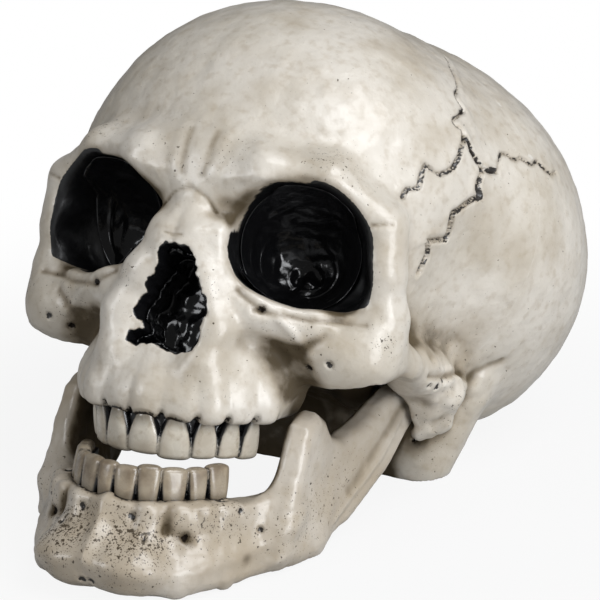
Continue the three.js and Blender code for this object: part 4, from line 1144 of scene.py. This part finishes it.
def hollowness(field, points, normals):
    """How far each point lies in a hollow, from 0 in the open to 1: the mask of the shade painted into
    hollows.
    """
    total = np.zeros(len(points), np.float32)
    for reach, share in OCCLUSION_REACH:
        room = in_batches(field, (points + reach * normals).astype(np.float32)) / reach
        total += share * np.clip(1 - room - OCCLUSION_START, 0, 1)
    return np.clip(total, 0, 1)


def dress(piece, body, slot, paint, *nodes):
    piece.data.materials.clear()
    piece.data.materials.append(paint)
    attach(piece, body)
    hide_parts(*nodes)


# The head's relief: grain and height of its unevenness, height and length of the roots' bulges
HEAD_BOX = ((-88, -110, -62), (88, 98, 122))
HEAD_GRAIN = ((17, 0.35), (6, 0.22), (2.6, 0.1))
UPPER_ROOTS = (0.75, 17)
EAR_AT = (59, -8, -6)
EAR_REACH = 15
EAR_LUMPS = 2.0
EAR_GRAIN = 5
EAR_FINE_GRAIN = 2.4

# The head's paint: how dark the painted shade in the hollow under the skull is and where it fades, and the
# same for the eyes
HIDDEN_SHADE = 1.6
HIDDEN_SIDE = (42, 36)
HIDDEN_FRONT = (-62, -46)
HIDDEN_BACK = (18, 14)
HIDDEN_TOP = (-6, -12)
OUTER_WALL_PAINT = 6
OUTER_WALL_FACING = (0.2, 0.5)
OUTER_WALL_SIDE = (36, 42)
OUTER_WALL_FOOT = (1, 5)
BROW_SHADE = 4.5
BROW_SHADE_RISE = (14, 26)


def make_head(paint):
    head = Surface(head_field, HEAD_BOX, HEAD_STEP)
    for form in SUTURES:
        head.suture(*form)
    head.shape(HEAD_FOLDS, HEAD_DENTS, HEAD_SPECKS, HEAD_STAINS_AND_SHADE)
    head.roots(upper_row, *UPPER_ROOTS)
    x, y, z = head.near_points.T
    # Painted shade under the skull: the hollow under the cheeks and the front of the base are darkened
    hidden = ramp(x, *HIDDEN_SIDE) * ramp(y, *HIDDEN_FRONT) * ramp(y, *HIDDEN_BACK) * ramp(z, *HIDDEN_TOP)
    head.wash += HIDDEN_SHADE * hidden
    ear = np.exp(-(size_of(head.near_points - vec(EAR_AT)) / EAR_REACH) ** 2)
    lumps = noise(head.near_points, EAR_GRAIN)
    head.height += EAR_LUMPS * ear * (lumps + 0.5 * noise(head.near_points, EAR_FINE_GRAIN))
    # Darker in the low lumps by the ear: painted shade
    head.wash += 0.5 * ear * np.clip(-lumps, 0, 1)
    for grain in HEAD_GRAIN:
        head.roughen(*grain)
    eyes = in_batches(orbit, head.points)
    # Painted shade in a band just outside the upper rim of each eye socket, under the brow
    rim = ramp(eyes, BROW_SHADE, 0) * ramp(z, *BROW_SHADE_RISE)
    head.wash += 0.5 * rim * (eyes > 0)
    towards = vec(ORBIT_AT) - head.near_points
    facing = np.einsum("ij,ij->i", towards, head.near_normals) / size_of(towards)
    outer_wall = ramp(facing, *OUTER_WALL_FACING) * ramp(x, *OUTER_WALL_SIDE) * ramp(z, *OUTER_WALL_FOOT)
    socket = np.minimum(eyes - OUTER_WALL_PAINT * outer_wall, in_batches(nose_hole, head.points))
    whole = head.piece("head", socket)
    for name, sign, node in (("face_skin", 1, "face_shell"), ("rear_skin", -1, "rear_shell")):
        dress(halved(whole, name, sign), "cranium", "bone", paint, node)
    bpy.data.objects.remove(whole)


JAW_BOX = ((-62, -108, -106), (62, 6, 6))
JAW_GRAIN = ((9, 0.35), (3.5, 0.18), (1.8, 0.08))
LOWER_ROOTS = (0.8, 9)
INNER_SHADE = 2.5
INNER_FACING = (-0.2, -1.2)
INNER_FRONT = (-75, -60)


def make_jaw(paint):
    jaw = Surface(jaw_field, JAW_BOX, JAW_STEP)
    jaw.shape(JAW_FOLDS, JAW_DENTS, JAW_SPECKS, JAW_STAINS)
    jaw.roots(lower_row, *LOWER_ROOTS)
    # Painted shade on the inner faces of the jaw, towards its back
    inner = ramp(jaw.near_normals[:, 0], *INNER_FACING) * ramp(jaw.points[:, 1], *INNER_FRONT)
    jaw.wash += INNER_SHADE * inner
    for grain in JAW_GRAIN:
        jaw.roughen(*grain)
    dress(jaw.piece("jaw_skin"), "jaw", "jaw_bone", paint, "mandible")


TOOTH_POWER = 2.8
TOOTH_ROOT = 1.5
TOOTH_EDGE = 0.6
TOOTH_SWELL = 0.75
TOOTH_GAP = 0.08
TOOTH_ROUNDING = 1.4
TOOTH_UNEVEN = 0.45
BACKING_FROM = 0.5
BACKING_REACH = 0.72


def crowns(row, p):
    """The teeth themselves, narrow at the gum and wide at the edge, of slightly uneven length."""
    flat = row.flat(p)
    whole = np.full(len(p), FAR, np.float32)
    for index, (width, at, tangent) in enumerate(row.places):
        u, v, w = row.tooth_frame(flat, at, tangent)
        length = row.length + TOOTH_UNEVEN * math.sin(2.3 * index)
        t = np.clip(w / length, 0, 1)
        swell = np.sin(np.minimum(t / TOOTH_SWELL, 1) * math.pi / 2)
        half_width = (width / 2 - TOOTH_GAP) * (row.neck + (1 - row.neck) * swell)
        half_thick = row.thickness / 2 * (1 - (1 - TOOTH_EDGE) * t * t)
        around = (np.abs(u / half_width) ** TOOTH_POWER
                  + np.abs((v - row.thickness / 2) / half_thick) ** TOOTH_POWER) ** (1 / TOOTH_POWER) - 1
        around = around * np.minimum(half_width, half_thick)
        ends = np.maximum(w - length, -w - TOOTH_ROOT)
        whole = np.minimum(whole, rounded_corner(around, ends, TOOTH_ROUNDING))
    return whole


def backing(row, p):
    """The strip behind the teeth, which the tooth paint makes near-black as painted shade between them."""
    flat = row.flat(p)
    whole = np.full(len(p), FAR, np.float32)
    for width, at, tangent in row.places:
        u, v, w = row.tooth_frame(flat, at, tangent)
        deep = row.thickness * BACKING_FROM / 2
        slab = np.maximum(np.abs(u) - width / 2 - 2 * TOOTH_GAP, np.abs(v - row.thickness + deep) - deep)
        ends = np.maximum(w - BACKING_REACH * row.length, -w - TOOTH_ROOT)
        whole = np.minimum(whole, np.maximum(slab, ends))
    return whole


TOOTH_MARGIN = 4


def make_teeth(name, row, node, slot, body, paint):
    low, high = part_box(node)
    corners = np.array([(x, y, z) for x in (low.x, high.x) for y in (low.y, high.y) for z in (low.z, high.z)])
    level = (corners - SKULL_AT) @ PITCHED / MM

    def field(p):
        return np.minimum(crowns(row, p), backing(row, p))

    points, quads = skin(field, level.min(0) - TOOTH_MARGIN, level.max(0) + TOOTH_MARGIN, TOOTH_STEP)
    normals = point_normals(points, quads)
    # Off the crowns, on the strip behind them, the mark is full: painted shade
    behind = np.clip((in_batches(lambda p: crowns(row, p), points) - 0.05) / 0.3, 0, 1)
    marks = {"wash": np.clip(0.8 * hollowness(field, points, normals) + behind, 0, 1),
             "gum": row.flat(points)[:, 2] * row.hang / row.length}
    dress(mesh_object(name, points, quads, marks), body, slot, paint, node)


CUP_SIDES = 96
CUP_RINGS = 56
CUP_WALL = 1.0
CUP_SETBACK = 3.5
CUP_THINNED = 0.9
CUP_FRONT = 0.75
RING_HEIGHT = 0.5
RING_COUNT = 5
CRUMPLE = 1.7
CRUMPLE_GRAIN = 3.4


def bowl_points(side, inset, rough):
    """Rings of a bowl from its back to its front edge, a little behind the face."""
    half = vec(ORBIT_HALF) - inset
    turn = turn_of((ORBIT_TILT[0], side * ORBIT_TILT[1], side * ORBIT_TILT[2]))
    at = vec(ORBIT_AT) * vec((side, 1, 1))
    around = np.arange(CUP_SIDES) * 2 * math.pi / CUP_SIDES
    power = 2 / ORBIT_POWER

    def ring(depth):
        bulge = np.abs(np.cos(depth)) ** power
        local = np.stack([
            bulge * np.sign(np.cos(around)) * np.abs(np.cos(around)) ** power * half[0],
            np.broadcast_to(np.sign(np.sin(depth)) * np.abs(np.sin(depth)) ** power * half[1], around.shape),
            bulge * np.sign(np.sin(around)) * np.abs(np.sin(around)) ** power * half[2],
        ], 1)
        return (local @ turn.T + at).astype(np.float32)

    low = np.full(CUP_SIDES, -CUP_FRONT * math.pi / 2)
    high = np.full(CUP_SIDES, math.pi / 2)
    for _ in range(24):
        middle = (low + high) / 2
        outside = solid_head(ring(middle)) + CUP_SETBACK > 0
        low = np.where(outside, middle, low)
        high = np.where(outside, high, middle)
    rim = high
    rings = []
    for i in range(1, CUP_RINGS + 1):
        share = i / CUP_RINGS
        depth = math.pi / 2 + (rim - math.pi / 2) * share
        points = ring(depth)
        if rough:
            inward = at + vec((0, -6, 0)) - points
            inward /= np.linalg.norm(inward, axis=1, keepdims=True)
            fade = min(1.0, 6 * (1 - share))
            ripple = RING_HEIGHT * max(0.0, math.cos(share * RING_COUNT * 2 * math.pi)) ** 3
            ripple = ripple * np.clip(0.2 + 2 * noise(points, 11), 0, 1)
            centre = max(0.0, 1 - share / 0.4)
            lumps = CRUMPLE * centre * noise(points, CRUMPLE_GRAIN) + 0.25 * noise(points, 2.5)
            points = points + inward * (fade * (ripple + lumps))[:, None]
        rings.append(points)
    return rings


def make_cup(word, side, paint):
    inner = bowl_points(side, GAP + CUP_WALL, True)
    outer = bowl_points(side, GAP, False)
    for i in range(CUP_RINGS):
        thin = CUP_THINNED * max(0.0, ((i + 1) / CUP_RINGS - 0.7) / 0.3) ** 2
        inner[i] = inner[i] + thin * (outer[i] - inner[i])
    points = np.concatenate(inner + outer[::-1])
    faces = []
    last = len(inner) + len(outer) - 1
    for i in range(last):
        for j in range(CUP_SIDES):
            k = (j + 1) % CUP_SIDES
            quad = (i * CUP_SIDES + j, i * CUP_SIDES + k, (i + 1) * CUP_SIDES + k, (i + 1) * CUP_SIDES + j)
            faces.append(quad if side > 0 else quad[::-1])
    first = list(range(CUP_SIDES))
    final = [last * CUP_SIDES + j for j in range(CUP_SIDES)]
    faces += [first[::-1], final] if side > 0 else [first, final[::-1]]
    cup = mesh_object(f"{word}_eye_cup", points, faces)
    dress(cup, "cranium", "socket_black", paint, f"{word}_eye_socket")


NOSE_CUP_STEP = 0.7
NOSE_CUP_BOX = ((-18, -102, -27), (18, -74, 14))


def nose_cup_field(p):
    plan = nose_hole(p)
    crumple = 0.8 * noise(p, 4) + 0.4 * noise(p, 2)
    outside = np.maximum(plan + GAP, p[:, 1] - NOSE_BACK + GAP)
    inside = np.maximum(plan + GAP + CUP_WALL, p[:, 1] - NOSE_BACK + GAP + CUP_WALL + 1 + crumple)
    return np.maximum(np.maximum(outside, -inside), solid_head(p) + CUP_SETBACK)


def make_nose_cup(paint):
    points, quads = skin(nose_cup_field, *NOSE_CUP_BOX, NOSE_CUP_STEP)
    dress(mesh_object("nose_cup", points, quads), "cranium", "socket_black", paint, "nose_socket")


def finish_hardware():
    steel = metal_paint("steel", (0.6, 0.61, 0.63), 0.25)
    nylon = nylon_paint()
    for side in ("left", "right"):
        for part, paint in (("hinge_pin", steel), ("hinge_washer", nylon), ("ear_screw", steel)):
            slots = frame["nodes"][f"{side}_{part}"].data.materials
            slots.clear()
            slots.append(paint)


bpy.context.scene.view_settings.view_transform = "Standard"
make_camera()
make_stage()
make_head(bone_paint("bone_paint", BONE_LIGHT, BONE_DARK))
make_jaw(bone_paint("jaw_paint", JAW_LIGHT, JAW_DARK))
make_teeth("upper_tooth_row", upper_row, "upper_teeth", "tooth", "cranium",
           tooth_paint("upper_tooth", (0.6, 0.55, 0.46), (0.48, 0.42, 0.33)))
make_teeth("lower_tooth_row", lower_row, "lower_teeth", "lower_tooth", "jaw",
           tooth_paint("lower_tooth", (0.34, 0.285, 0.21), (0.17, 0.125, 0.08)))
socket_coat = black_gloss()
for word, side in (("left", 1), ("right", -1)):
    make_cup(word, side, socket_coat)
make_nose_cup(socket_coat)
finish_hardware()
